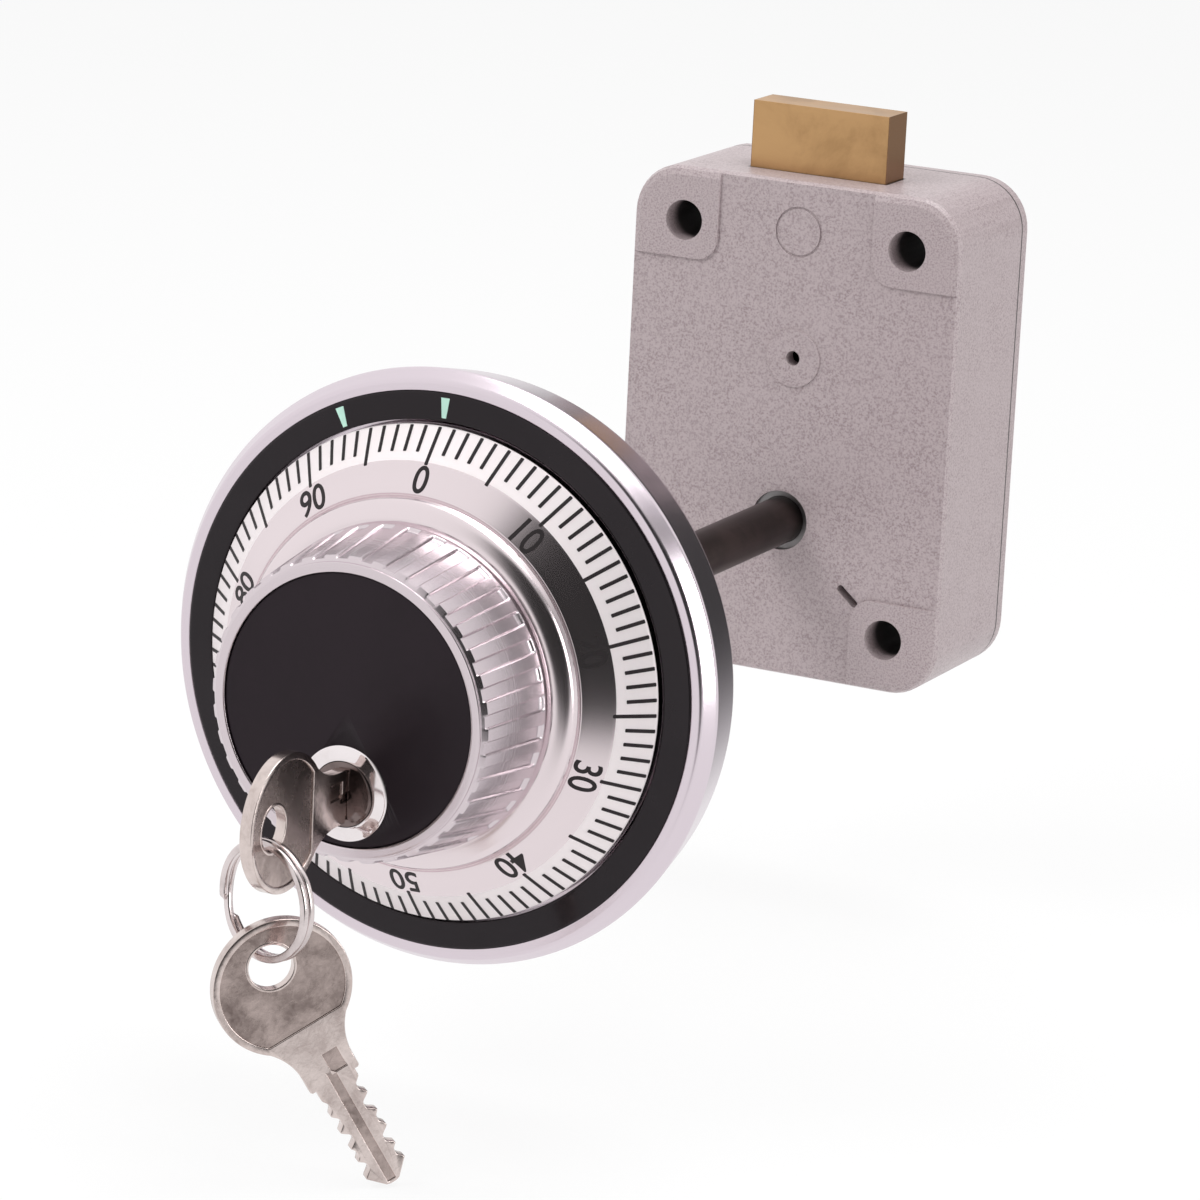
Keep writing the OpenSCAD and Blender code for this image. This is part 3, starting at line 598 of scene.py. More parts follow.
def chrome_finish(name, bright, dull, rough_low, rough_high):
    """Polished chrome with faint smears that take a little of its shine."""
    mat, tree, shader = new_finish(name, bright, rough_low, 1.0)
    coord = node(tree, "ShaderNodeTexCoord")
    smear = effect(tree, clouds, coord, Scale=120.0, Low=0.45, High=0.75)
    tree.links.new(between(tree, smear.outputs[0], rough_low, rough_high), shader.inputs["Roughness"])
    tree.links.new(color_between(tree, smear.outputs[0], bright, dull), shader.inputs["Base Color"])
    return mat


chrome = chrome_finish("plug chrome", (0.87, 0.81, 0.82), (0.78, 0.71, 0.71), 0.04, 0.12)
# The plug face's dark colour is a painted dark reflection.
plug_face_painted_reflection = chrome_finish("plug face with painted dark reflection", (0.2, 0.155, 0.15), (0.09, 0.068, 0.064), 0.1, 0.2)


def nickel_finish(name, bright, dull, rough_low, rough_high):
    """Nickel plate with brown-grey tarnish in clouds of two sizes."""
    mat, tree, shader = new_finish(name, bright, rough_low, 1.0)
    coord = node(tree, "ShaderNodeTexCoord")
    tarnish = effect(tree, clouds, coord, Scale=170.0, Low=0.3, High=0.72)
    haze = effect(tree, clouds, coord, Scale=900.0, Low=0.3, High=0.75)
    mixed = maths(tree, "MULTIPLY", tarnish.outputs[0], between(tree, haze.outputs[0], 0.5, 1.0))
    tree.links.new(color_between(tree, mixed, bright, dull), shader.inputs["Base Color"])
    tree.links.new(between(tree, mixed, rough_low, rough_high), shader.inputs["Roughness"])
    bump(tree, shader, haze.outputs[0], 0.4, 0.00002)
    return mat


nickel = nickel_finish("tarnished nickel", (0.56, 0.46, 0.43), (0.2, 0.15, 0.14), 0.2, 0.36)
worn_nickel = nickel_finish("nickel worn bright", (0.76, 0.66, 0.63), (0.5, 0.41, 0.385), 0.16, 0.28)
print("finishes:", len(bpy.data.materials))

# %% [markdown]
# ## Giving the solids their finish
#
# The case, the bolt and the works inside keep their own solids. These come in as loose triangles,
# so a Weld modifier joins them and a Decimate modifier makes whole flat faces of them. Then a
# small Bevel can break the sharp edges, as on a cast or filed part.

# %% Dress a solid


def paint(obj, mat):
    """Puts one finish on every face of a piece."""
    obj.data.materials.clear()
    obj.data.materials.append(mat)
    return obj


def dress(name, mat, edge=0.0, angle=28, segments=3):
    """Gives a solid its finish and, where edge is above zero, rounded edges that wide in mm."""
    obj = paint(nodes[name], mat)
    if edge:
        weld = obj.modifiers.new("join", "WELD")
        weld.merge_threshold = 0.000002
        flat = obj.modifiers.new("flat faces", "DECIMATE")
        flat.decimate_type = "DISSOLVE"
        flat.angle_limit = math.radians(0.5)
        bevel = obj.modifiers.new("edges", "BEVEL")
        bevel.width = edge * MM
        bevel.segments = segments
        bevel.limit_method = "ANGLE"
        bevel.angle_limit = math.radians(angle)
        bevel.harden_normals = True
    return obj


def place(obj, mat, node_name, body):
    """Finishes a new piece and lets it stand for a solid of the frame."""
    paint(obj, mat)
    if node_name:
        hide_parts(node_name)
    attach(obj, body)
    return report(obj)


for name in ("case_body", "back_cover"):
    dress(name, case_paint, 0.35)
dress("bolt", bolt_brass, 0.3)
for i in (1, 2, 3):
    dress(f"spacer_{i}", inner_brass, 0.12)
    dress(f"wheel_hub_{i}", inner_brass, 0.12)
    dress(f"wheel_{i}", wheel_alloy, 0.12)
    dress(f"knob_screw_{i}", dark_steel)
for name in ("drive_cam", "lock_cam"):
    dress(name, inner_brass, 0.12)
for i in (1, 2, 3, 4):
    dress(f"cover_screw_{i}", dark_steel)
for name in ("wheel_post", "post_clip", "spline_key", "cam_clip", "lever_screw"):
    dress(name, dark_steel)
for name in ("tension_washer", "fence", "relock_pin", "relock_spring", "lever_spring"):
    dress(name, wire_steel)
dress("lever", inner_brass, 0.2)

# %% [markdown]
# ## Spindle
#
# The spindle is a bronzed steel rod. Its solid is right but its round side shows flats up close,
# so a turned rod with softened ends stands for it.

# %% Turn the spindle
spindle_low, spindle_high = box_mm("spindle")
rod_back, rod_front = -spindle_high[1], -spindle_low[1]
rod = soften(
    [(0, rod_back), (spindle_r, rod_back, 0.5), (spindle_r, rod_front, 0.5), (0, rod_front)], closed=False
)
place(turn("spindle_rod", rod, 96, closed=False), spindle_steel, "spindle", "dial")

# %% [markdown]
# ## Dial ring
#
# The ring is a shallow dish. Its front is a narrow flat rim, its side tapers toward the door, and
# inside it holds the black band, a low rib for the key lock, and the tube in which the dial turns.

# %% Turn the dial ring
hub_r, hub_outer, hub_tall = 7.06, 9, 6.5
shelf = ring_front - 2
floor = ring_back + 2.5
ring_wide = ring_back + 9.6
rib_outer, rib_inner, rib_top = 28.3, 24.8, ring_wide
dish_r = dial_r - 1.9
ring_profile = soften(
    [
        (hub_r, ring_back),
        (ring_r - 2, ring_back, 0.8),
        (ring_r, ring_wide, 0.5),
        (ring_r - 0.5, ring_back + 10.5, 0.4),
        (ring_r - 1.6, ring_front, 0.5),
        (band_r, ring_front, 0.25),
        (band_r, shelf, 0.1),
        (dish_r, shelf, 0.3),
        (dish_r, floor, 0.8),
        (rib_outer, floor),
        (rib_outer, rib_top),
        (rib_inner, rib_top),
        (rib_inner, floor),
        (hub_outer, floor),
        (hub_outer, floor + hub_tall),
        (hub_r, floor + hub_tall),
    ],
    0.2,
)
ring = turn("dial_ring_turned", ring_profile, 320)

# %% [markdown]
# Screw holes and the two notches of the rib are cut out with Boolean modifiers, which are then
# applied so that no cutting tool is left in the scene.

# %% Cut holes


def rod_cutter(x, z, near, far, radius):
    """A plain rod along Y between two distances, to cut with."""
    profile = np.array([(0, near), (radius, near), (radius, far), (0, far)], float)
    return turn("cutter", profile, 48, (x, z), closed=False)


def level_faces(obj):
    """Lets large flat faces keep their own normals, with the small faces at their edges following."""
    level = obj.modifiers.new("level faces", "WEIGHTED_NORMAL")
    level.keep_sharp = True


def cut(obj, cutters):
    """Takes the cutters out of a piece and puts the result into its mesh."""
    for tool in cutters:
        step = obj.modifiers.new("cut", "BOOLEAN")
        step.operation = "DIFFERENCE"
        step.solver = "EXACT"
        step.object = tool
    bpy.context.view_layer.update()
    shaped = bpy.data.meshes.new_from_object(obj.evaluated_get(bpy.context.evaluated_depsgraph_get()))
    obj.modifiers.clear()
    obj.data = shaped
    for tool in cutters:
        bpy.data.objects.remove(tool)
    return obj


screw_circle, screw_hole_r = 32.4, 2.25
screw_at = [math.radians(a) for a in (90, 210, 330)]
screw_xz = [(screw_circle * math.cos(a), screw_circle * math.sin(a)) for a in screw_at]
holes = [rod_cutter(x, z, ring_back - 1, floor + 1, screw_hole_r) for x, z in screw_xz]
notches = [rod_cutter(0, s * plug_z, floor + 0.01, ring_back + 10, 13.3) for s in (-1, 1)]
cut(ring, holes + notches)
level_faces(ring)
place(ring, ring_metal, "dial_ring", "case")

# %% [markdown]
# ## Index band
#
# The black band carries the two marks that the numbers are read against: the opening mark at the
# top and the changing mark to its left. Each is a slot filled with pale paint, wider outside.

# %% Turn the band
band_in = dial_r + 0.5
band_top = front_of("index_band")
band_profile = soften(
    [(band_in, shelf), (band_r, shelf), (band_r, ring_front + 0.1, 0.3), (band_in, band_top, 0.3)], 0.15
)
place(turn("index_band_turned", band_profile, 320), band_black, "index_band", "case")

# %% [markdown]
# On the real band the marks are shallow slots filled with pale green paint. A cut slot would
# disappear at this size, so each mark is a thin solid bar that stands just proud, worked out on
# the band's own slope.

# %% Paint the index marks


def index_mark(name, angle, half_out=0.72, half_in=0.36):
    """A tapered bar on the band: its half width falls evenly from the outside to the inside."""
    u = np.linspace(0, 1, 9)[:, None]
    v = np.linspace(-1, 1, 5)[None, :]
    r = band_in + 0.55 + (band_r - band_in - 1.25) * u
    lift = band_top + (ring_front + 0.1 - band_top) * (r - band_in) / (band_r - band_in)
    a = math.radians(angle) + v * (half_in + (half_out - half_in) * u) / r
    top = np.stack([r * np.sin(a), -(lift + 0.06) + 0 * a, r * np.cos(a)], -1)
    low = top + np.array([0, 0.4, 0])
    count = top[..., 0].size
    sheet = grid_faces(9, 5, False, False)
    idx = np.arange(count).reshape(9, 5)
    rim = np.concatenate([idx[0, :], idx[1:, -1], idx[-1, -2::-1], idx[-2:0:-1, 0]])
    nxt = np.roll(rim, -1)
    wall = np.stack([rim, nxt, nxt + count, rim + count], -1)
    faces = np.vstack([sheet, sheet[:, ::-1] + count, wall])
    verts = np.vstack([top.reshape(-1, 3), low.reshape(-1, 3)])
    obj = finish_mesh(name, verts, faces.tolist())
    return place(obj, mint_paint, None, "case")


index_mark("opening_mark", 0)
index_mark("changing_mark", -25.2)

# %% [markdown]
# ## Dial
#
# The dial rises from its rim in two cones. The outer one is frosted and carries the hundred marks,
# the inner one is turned bright and carries the numbers. A groove and a polished round shoulder
# lead up to the knob.

# %% Turn the dial
rim_d = ring_back + 13.6
bend_r, bend_d = 33.5, rim_d + 4.1
top_r, top_d = 29.2, rim_d + 6.9
dial_back = ring_back + 11.6
seat_r = knob_r - 0.8
seat_d = rim_d + 4.4
dial_profile = soften(
    [
        (spindle_r, ring_back + 1),
        (7.0, ring_back + 1),
        (7.0, dial_back),
        (dial_r, dial_back, 0.3),
        (dial_r, rim_d, 0.25),
        (bend_r, bend_d, 0.35),
        (top_r, top_d, 0.3),
        (top_r - 0.35, top_d - 0.25, 0.1),
        (top_r - 1.0, top_d + 1.5, 1.3),
        (top_r - 3.1, top_d + 2.5, 1.5),
        (seat_r, top_d + 2.5, 0.3),
        (seat_r, seat_d),
        (spindle_r, seat_d),
    ],
    0.2,
    6,
)
dial = turn("dial_turned", dial_profile, 360)
cut(dial, [rod_cutter(0, plug_z, dial_back - 0.5, seat_d + 0.5, 6.55)])
place(dial, number_metal, "dial", "dial")

# %% [markdown]
# The outer cone has a finish of its own, so the faces whose middle lies on it get the frosted
# metal as a second material.

# %% Frost the outer cone
dial.data.materials.append(scale_metal)
centres = np.empty(len(dial.data.polygons) * 3, np.float32)
dial.data.polygons.foreach_get("center", centres)
centres = centres.reshape(-1, 3) / MM
reach = np.hypot(centres[:, 0], centres[:, 2])
frosted = (reach > bend_r + 0.1) & (-centres[:, 1] > rim_d - 0.3)
dial.data.polygons.foreach_set("material_index", frosted.astype(np.int32))
print("frosted faces:", int(frosted.sum()))

# %% [markdown]
# ## Marks and numbers
#
# Marks and numbers are laid on the cones by one rule: a flat drawing has X along the rim and Y up
# the slope, and each point goes to the angle X over the radius, and to the place on the slope that
# Y gives. A mark stands a few hundredths of a millimetre proud, as thick paint does.

# %% Lay a flat drawing on the dial


def slope_point(y):
    """Radius and distance of the point y mm up the slope from the rim, over both cones."""
    first = math.hypot(dial_r - bend_r, bend_d - rim_d)
    second = math.hypot(bend_r - top_r, top_d - bend_d)
    s = np.clip(y / first, None, 1)
    t = np.clip((y - first) / second, 0, 1)
    r = dial_r + (bend_r - dial_r) * s + (top_r - bend_r) * t
    d = rim_d + (bend_d - rim_d) * s + (top_d - bend_d) * t
    return r, d


def lay_on_dial(x, y, angle, proud=0.03):
    """Points on the dial for a flat drawing: x along the rim, y up the slope, both in mm."""
    r, d = slope_point(y)
    a = math.radians(angle) + x / r
    return np.stack([(r + proud * 0.6) * np.sin(a), -(d + proud), (r + proud * 0.6) * np.cos(a)], -1)


# %% [markdown]
# The marks of such a dial are engraved and filled with black paint, a long one at every fifth
# place. One small grid of points serves for each mark, with narrower ends for their soft corners,
# and all hundred go into a single mesh.

# %% Draw the hundred marks
divisions = 100
step_angle = 360 / divisions
first_slope = math.hypot(dial_r - bend_r, bend_d - rim_d)
mark_verts, mark_faces = [], []
long_mark, short_mark, mark_half = first_slope + 0.35, first_slope * 0.74, 0.29
for i in range(divisions):
    far = long_mark if i % 5 == 0 else short_mark
    y = np.array([0.12, 0.2, 2.0, min(3.4, far - 0.3), far - 0.1, far])[:, None] * np.ones((1, 3))
    width = np.array([0.6, 1, 1, 1, 1, 0.6])[:, None] * mark_half
    x = width * np.array([-1, 0, 1])[None, :]
    points = lay_on_dial(x, y, i * step_angle)
    mark_faces.append(grid_faces(6, 3, False, False, len(mark_verts) * 18))
    mark_verts.append(points.reshape(-1, 3))
marks = finish_mesh("dial_marks", np.vstack(mark_verts), np.vstack(mark_faces).tolist())
place(marks, ink_black, None, "dial")

# %% [markdown]
# The numbers are text turned to a mesh. Their tops point outward, as on the real dial, so text
# that is upright in its own plane runs down the slope.

# %% Draw the numbers


def flat_text(words, size):
    """Points and faces of a line of text, centred, in mm, with y upward."""
    curve = bpy.data.curves.new("number", "FONT")
    curve.body = words
    curve.size = size
    curve.align_x = "CENTER"
    curve.align_y = "CENTER"
    curve.resolution_u = 6
    curve.offset = 0.009 * size
    temp = bpy.data.objects.new("number", curve)
    bpy.context.scene.collection.objects.link(temp)
    bpy.context.view_layer.update()
    mesh = bpy.data.meshes.new_from_object(temp.evaluated_get(bpy.context.evaluated_depsgraph_get()))
    co = np.empty(len(mesh.vertices) * 3, np.float32)
    mesh.vertices.foreach_get("co", co)
    faces = [list(p.vertices) for p in mesh.polygons]
    bpy.data.objects.remove(temp)
    bpy.data.meshes.remove(mesh)
    return co.reshape(-1, 3), faces


number_y, number_size, narrow, number_proud = first_slope + 2.7, 6.3, 0.82, 0.045
for value in range(0, divisions, 10):
    co, faces = flat_text(str(value), number_size)
    middle = (co[:, :2].min(0) + co[:, :2].max(0)) / 2
    flat = (co[:, :2] - middle) * [narrow, -1]
    points = lay_on_dial(flat[:, 0], number_y + flat[:, 1], value * step_angle, number_proud)
    place(finish_mesh(f"number_{value}", points, faces), ink_black, None, "dial")

# %% [markdown]
# ## Knob
#
# The knob is a turned cup whose side is cut with shallow flat flutes, half as wide as their pitch.
# One grid makes the whole cup: where a point lies on the side, its radius falls by the flute depth
# times a box with short soft steps, which is 1 inside a flute and 0 on the rib between two flutes.
# The cutter leaves the knob through a chamfer at its front, so each flute shows there as a bright
# notch behind the plain rim.

# %% Model the fluted knob
flutes, flute_half, flute_depth = 36, 1.08, 0.42
knob_back = rim_d + 9.8
front_r = cap_r + 2.35
inner_r = cap_r - 1.4
rim_edge = front_r - 0.75


def smooth_box(x, half, soft):
    """1 inside plus or minus half, 0 outside, with a smooth step that is soft wide."""
    t = np.clip((half - np.abs(x)) / soft + 0.5, 0, 1)
    return t * t * (3 - 2 * t)


def side_radius(d):
    """Radius of the ribs, a straight cone from the back of the knob to its front."""
    return knob_r + (front_r - knob_r) * (d - knob_back) / (knob_front - knob_back)


near_base = knob_back + np.array([0.2, 0.5, 0.8, 1.0, 1.15, 1.3, 1.6])
side_d = np.concatenate([near_base, np.linspace(knob_back + 2.2, knob_front - 1.0, 26)])
side_r = side_radius(side_d)
side_r[:2] -= [0.3, 0.06]
chamfer_d = knob_front - 0.42
front = [
    (front_r - 0.28, knob_front - 0.72),
    (rim_edge + 0.1, chamfer_d),
    (rim_edge + 0.06, chamfer_d),
    (rim_edge, chamfer_d + 0.03),
    (rim_edge - 0.03, knob_front - 0.14),
    (rim_edge - 0.14, knob_front - 0.02),
    (rim_edge - 0.3, knob_front),
]
cap_seat, cup_floor = cap_front - 2, seat_d + 3
inside = soften(
    [
        (rim_edge - 0.5, knob_front),
        (cap_r, knob_front, 0.35),
        (cap_r, cap_seat),
        (inner_r, cap_seat),
        (inner_r, cup_floor),
        (0, cup_floor),
    ],
    0.1,
    5,
    closed=False,
)
profile = np.vstack(
    [
        [(0, seat_d), (seat_r, seat_d), (seat_r, knob_back - 0.3)],
        [(knob_r - 0.7, knob_back - 0.25), (knob_r - 0.5, knob_back)],
        np.stack([side_r, side_d], 1),
        front,
        inside,
    ]
)
first_side, last_side = 5, 5 + len(side_d) + 2
angles = np.linspace(0, 2 * math.pi, flutes * 24, endpoint=False)[:, None]
r, d = profile[None, :, 0] + 0 * angles, profile[None, :, 1] + 0 * angles
pitch = 2 * math.pi / flutes
offset = (np.mod(angles + pitch, pitch) - pitch / 2) * knob_r
row = np.arange(len(profile))[None, :]
on_side = (row >= first_side) & (row < last_side)
window = np.clip((d - knob_back - 0.95) / 0.55, 0, 1)
floor_r = np.minimum(r, side_radius(d) - flute_depth)
r = r + (floor_r - r) * smooth_box(offset, flute_half, 0.16) * window * on_side
points = np.stack([r * np.sin(angles), -d, r * np.cos(angles)], -1)
knob = surface("fluted_knob", points, close_u=True, smooth=32)
place(knob, knob_metal, "knob", "dial")

# %% [markdown]
# A thin black disc closes the front of the knob, with a hole for the key plug off its centre. It
# is turned like the rest. The hole is cut, since a lathe can't make a hole beside the axis.

# %% Turn the cap
disc_r, disc_back = cap_r - 0.03, cap_front - 1.9
cap = soften(
    [(0, disc_back), (disc_r, disc_back), (disc_r, cap_front, 0.35), (0, cap_front)], 0.2, 6, closed=False
)
cap_obj = turn("knob_cap_turned", cap, 320, closed=False)
cut(cap_obj, [rod_cutter(0, plug_z, cap_front - 3, cap_front + 1, 6.52)])
level_faces(cap_obj)
place(cap_obj, cap_black, "knob_cap", "dial")

# %% [markdown]
# ## Key plug
#
# The housing shows as a mirror-bright disc with the turning plug in its middle. Both are polished
# together to one shallow dome: its height falls with the square of the distance from the axis, so
# it mirrors much more of the room than a flat face would.

# %% Turn the plug housing
bore_r = 5.06
dome_drop = 0.85


def dome(r):
    """Distance of the polished dome in front of the case, at a radius from the plug's axis."""
    return face_front - dome_drop * (np.asarray(r) / face_r) ** 2


dome_r = np.linspace(face_r - 0.25, bore_r + 0.12, 8)
barrel_r = 6.5
outside = soften(
    [
        (bore_r, dial_back),
        (barrel_r, dial_back),
        (barrel_r, cap_front),
        (face_r, cap_front, 0.03),
        (face_r, dome(face_r) - 0.04, 0.03),
        (dome_r[0], dome(dome_r[0])),
    ],
    0.1,
    4,
    closed=False,
)
mouth = [(bore_r + 0.03, dome(bore_r) - 0.03), (bore_r, dome(bore_r) - 0.12)]
housing_profile = np.vstack([outside, np.stack([dome_r, dome(dome_r)], 1)[1:], mouth])
housing = turn("plug_housing_turned", housing_profile, 160, (0, plug_z))
place(housing, chrome, "plug_housing", "dial")

# %% [markdown]
# The plug is the part that the key turns. It carries on the dome of the housing, so the two look
# like one disc with a fine round line between them, and a box cut through its middle makes the
# keyway. Its face has a dark metal colour, a painted dark reflection, where the housing keeps its
# shine.

# %% Turn the plug and cut its keyway
plug_r = radius_of("plug")
tail, tail_r = back_of("plug"), 2.2
dome_r = np.linspace(plug_r - 0.14, 0, 12)
plug_profile = np.vstack(
    [
        [(0, tail), (tail_r, tail), (tail_r, dial_back - 0.3), (plug_r, dial_back - 0.3)],
        [(plug_r, dome(plug_r) - 0.16), (plug_r - 0.04, dome(plug_r) - 0.04)],
        np.stack([dome_r, dome(dome_r)], 1),
    ]
)
plug = turn("plug_turned", plug_profile, 128, (0, plug_z), closed=False)


def box_cutter(low, high):
    """A plain box between two corners in mm, to cut with."""
    corners = np.array([[low[0], low[1]], [high[0], low[1]], [high[0], high[1]], [low[0], high[1]]])
    ends = [np.hstack([corners, np.full((4, 1), level)]) for level in (low[2], high[2])]
    faces = [(3, 2, 1, 0), (4, 5, 6, 7), (0, 1, 5, 4), (1, 2, 6, 5), (2, 3, 7, 6), (3, 0, 4, 7)]
    return finish_mesh("cutter", np.vstack(ends), faces)


cut(plug, [box_cutter((-1.1, -face_front - 1, plug_z - 3.4), (1.1, -face_front + 20.5, plug_z + 3.4))])
place(plug, plug_face_painted_reflection, "plug", "plug")

# %% [markdown]
# ## Keys
#
# A key is a flat blank. Its outline is drawn as curves, and three layers make it: a thin web for
# the whole shape, a thicker plate that leaves the pressed fields open, and a rim round the eye.
# Filled curves with a small bevel give the pressed, rounded edge of a real key.

# %% Draw flat outlines


def arc(cx, cy, r, a0, a1, n=40):
    """Points on a circle from angle a0 to a1, in degrees."""
    a = np.radians(np.linspace(a0, a1, n))
    return np.stack([cx + r * np.cos(a), cy + r * np.sin(a)], 1)


def flat_plate(name, loops, thick, edge, inset=0.0):
    """A plate from closed outlines in mm, the outer one first, drawn smaller by inset."""
    curve = bpy.data.curves.new(name, "CURVE")
    curve.dimensions = "2D"
    curve.fill_mode = "BOTH"
    curve.extrude = (thick / 2 - edge) * MM
    curve.bevel_depth = edge * MM
    curve.bevel_resolution = 2
    curve.offset = -(edge + inset) * MM
    for loop in loops:
        line = curve.splines.new("POLY")
        line.points.add(len(loop) - 1)
        co = np.hstack([loop * MM, np.zeros((len(loop), 1)), np.ones((len(loop), 1))])
        line.points.foreach_set("co", co.ravel())
        line.use_cyclic_u = True
    temp = bpy.data.objects.new(name, curve)
    bpy.context.scene.collection.objects.link(temp)
    bpy.context.view_layer.update()
    mesh = bpy.data.meshes.new_from_object(temp.evaluated_get(bpy.context.evaluated_depsgraph_get()))
    bpy.data.objects.remove(temp)
    return mesh


# %% [markdown]
# The blank's outline is a circle for the bow, a neck that narrows to the shoulder, and a blade
# with round cuts on both edges. Written as formulas, the cuts can be moved like those of a real
# key. The field of the bow, the pocket and the groove are holes in the plate only, so the web shows
# at their bottom on both faces of the key.

# %% Shape the key
bow_r, shoulder, blade_len = 10.5, 17.0, 19.0
eye_x, eye_r = -3.7, 3.4
blade_half = 3.3
key_t = 2.0


cuts = {
    1: [(2.7, 0.95), (5.9, 1.4), (8.8, 0.7), (12.1, 1.3), (14.9, 0.85)],
    -1: [(3.2, 0.6), (6.2, 0.95), (9.4, 1.3), (12.0, 0.7), (14.6, 1.15)],
}


def blade_edge(side):
    """The cut edge of the blade from shoulder to tip: a level line with five round valleys."""
    x = np.linspace(shoulder, shoulder + blade_len - 2.6, 110)
    depth = np.zeros_like(x)
    for at, low in cuts[side]:
        depth = np.maximum(depth, low * smooth_box(x - shoulder - at, 0.75 + 0.25 * low, 0.9 + 0.4 * low))
    return np.stack([x, side * (blade_half - depth)], 1)


def neck(side):
    """The side of the neck: it leaves the bow and falls to the shoulder as a power of what is left."""
    t = np.linspace(0, 1, 14)
    half = 4.15 + (leave[1] - 4.15) * (1 - t) ** 2.4
    return np.stack([leave[0] + (shoulder - 2 - leave[0]) * t, side * half], 1)


leave_angle = 38
leave = arc(0, 0, bow_r, leave_angle, leave_angle, 1)[0]
tip = shoulder + blade_len
upper, lower = blade_edge(1), blade_edge(-1)
outline = np.vstack(
    [
        arc(0, 0, bow_r, leave_angle, 360 - leave_angle, 96),
        neck(-1)[1:],
        [(shoulder - 0.3, -4.15), (shoulder, -3.9)],
        lower,
        [(tip - 0.2, -1.1), (tip, -0.5), (tip, 0.5), (tip - 0.2, 1.1)],
        upper[::-1],
        [(shoulder, 3.9), (shoulder - 0.3, 4.15)],
        neck(1)[:0:-1],
    ]
)
eye = arc(eye_x, 0, eye_r, 360, 5, 48)
slot = np.array([(shoulder - 4.6, 0.1), (shoulder - 4.6, 2.5), (shoulder - 1.2, 2.5), (shoulder - 1.2, 0.1)])
groove_from, groove_to = shoulder - 1.6, tip - 0.5
groove = np.array(
    [(groove_from, -0.7), (groove_from, 0.0), (shoulder - 0.9, 0.6), (groove_to, 0.6), (groove_to, -0.7)]
)
chord = 7.2
field_r = bow_r - 1.1
field_angle = math.degrees(math.acos(chord / field_r))
field = arc(0, 0, field_r, 360 - field_angle, field_angle, 90)


def make_key(name, matrix, body, node_name):
    """The layers of one key, joined and placed by a matrix that sends X to the tip."""
    web = flat_plate(name, [outline, eye], key_t - 0.5, 0.12, 0.12)
    plate = flat_plate(name + "_plate", [outline, field, slot, groove], key_t, 0.16)
    eye_rim = flat_plate(name + "_eye", [arc(eye_x, 0, eye_r + 0.5, 0, 355, 48), eye], key_t - 0.3, 0.12)
    bm = bmesh.new()
    bright_from = len(web.polygons)
    for mesh in (web, plate, eye_rim):
        bm.from_mesh(mesh)
        bpy.data.meshes.remove(mesh)
    bm.faces.ensure_lookup_table()
    for face in bm.faces[bright_from:]:
        face.material_index = 1
    mesh = bpy.data.meshes.new(name)
    bmesh.ops.remove_doubles(bm, verts=bm.verts, dist=1e-7)
    bm.to_mesh(mesh)
    bm.free()
    mesh.transform(matrix)
    mesh.polygons.foreach_set("use_smooth", np.ones(len(mesh.polygons), bool))
    mesh.set_sharp_from_angle(angle=math.radians(40))
    obj = bpy.data.objects.new(name, mesh)
    bpy.context.scene.collection.objects.link(obj)
    bright = np.empty(len(mesh.polygons), np.int32)
    mesh.polygons.foreach_get("material_index", bright)
    place(obj, nickel, node_name, body)
    obj.data.materials.append(worn_nickel)
    mesh.polygons.foreach_set("material_index", bright)
    level_faces(obj)
    return obj


# %% [markdown]
# Both keys are the same blank. One stands upright in the plug, with its bow against the face.
# The other hangs from the split ring by its eye, turned and leaning as in the photograph.

# %% Place both keys
bow_y = front_of("key") - bow_r
upright = Matrix(((0, 0, 1), (1, 0, 0), (0, 1, 0))).to_4x4()
first = Matrix.Translation(Vector((0, -bow_y * MM, plug_z * MM))) @ upright
make_key("key_in_plug", first, "key", "key")

loop_r, wire_in, eye_off = 8.6, 2.3, 3.7
eye_y = bow_y + eye_off
loop_z = plug_z - wire_in - loop_r
lean, yaw = math.radians(30), math.radians(45)
tip_way = Vector((math.sin(lean) * math.sin(yaw), math.sin(lean) * math.cos(yaw), -math.cos(lean)))
spare_in = 1.6
spare_eye = Vector((0, -eye_y, loop_z - loop_r)) + spare_in * tip_way
turned_key = Matrix.Rotation(-yaw, 4, "Z") @ upright @ Matrix.Rotation(lean - math.pi / 2, 4, "Z")
second = Matrix.Translation(spare_eye * MM) @ turned_key @ Matrix.Translation((eye_off * MM, 0, 0))
make_key("key_on_ring", second, "spare_key", "spare_key")

# %% [markdown]
# ## Split ring
#
# A split ring is one wire wound twice, pressed flat. Its path goes round twice while it steps
# sideways by one wire width near the end of each turn. A small rounded section rides along it.

# %% Wind the split ring


def split_ring(radius, wire_w, wire_t):
    """Two turns of flat wire: the sideways step is a smooth step spread over the last fifth of a turn."""
    t = np.linspace(0.02, 1.98, 400)
    step = np.clip((t - 0.9) / 0.2, 0, 1)
    side = -0.5 + step * step * (3 - 2 * step)
    a = 2 * math.pi * t
    u = np.linspace(0, 2 * math.pi, 20, endpoint=False)
    corner = 0.55
    cu, su = np.cos(u), np.sin(u)
    wide = wire_w / 2 * np.sign(cu) * np.abs(cu) ** corner
    deep = wire_t / 2 * np.sign(su) * np.abs(su) ** corner
    end = np.clip(np.minimum(t - 0.02, 1.98 - t) / 0.012, 0.15, 1)[:, None]
    rr = radius + deep[None, :] * end
    axial = side[:, None] * wire_w * 1.02 + wide[None, :] * end
    return np.stack([rr * np.cos(a)[:, None], rr * np.sin(a)[:, None], axial], -1)


coil = split_ring(loop_r, 1.08, 1.15)
ends = np.stack([coil[0].mean(0)[None].repeat(20, 0), coil[-1].mean(0)[None].repeat(20, 0)])
coil = np.concatenate([ends[:1], coil, ends[1:]])


def turned_by(degrees, axis):
    """A 3 by 3 rotation about one axis."""
    return Matrix.Rotation(math.radians(degrees), 3, axis)


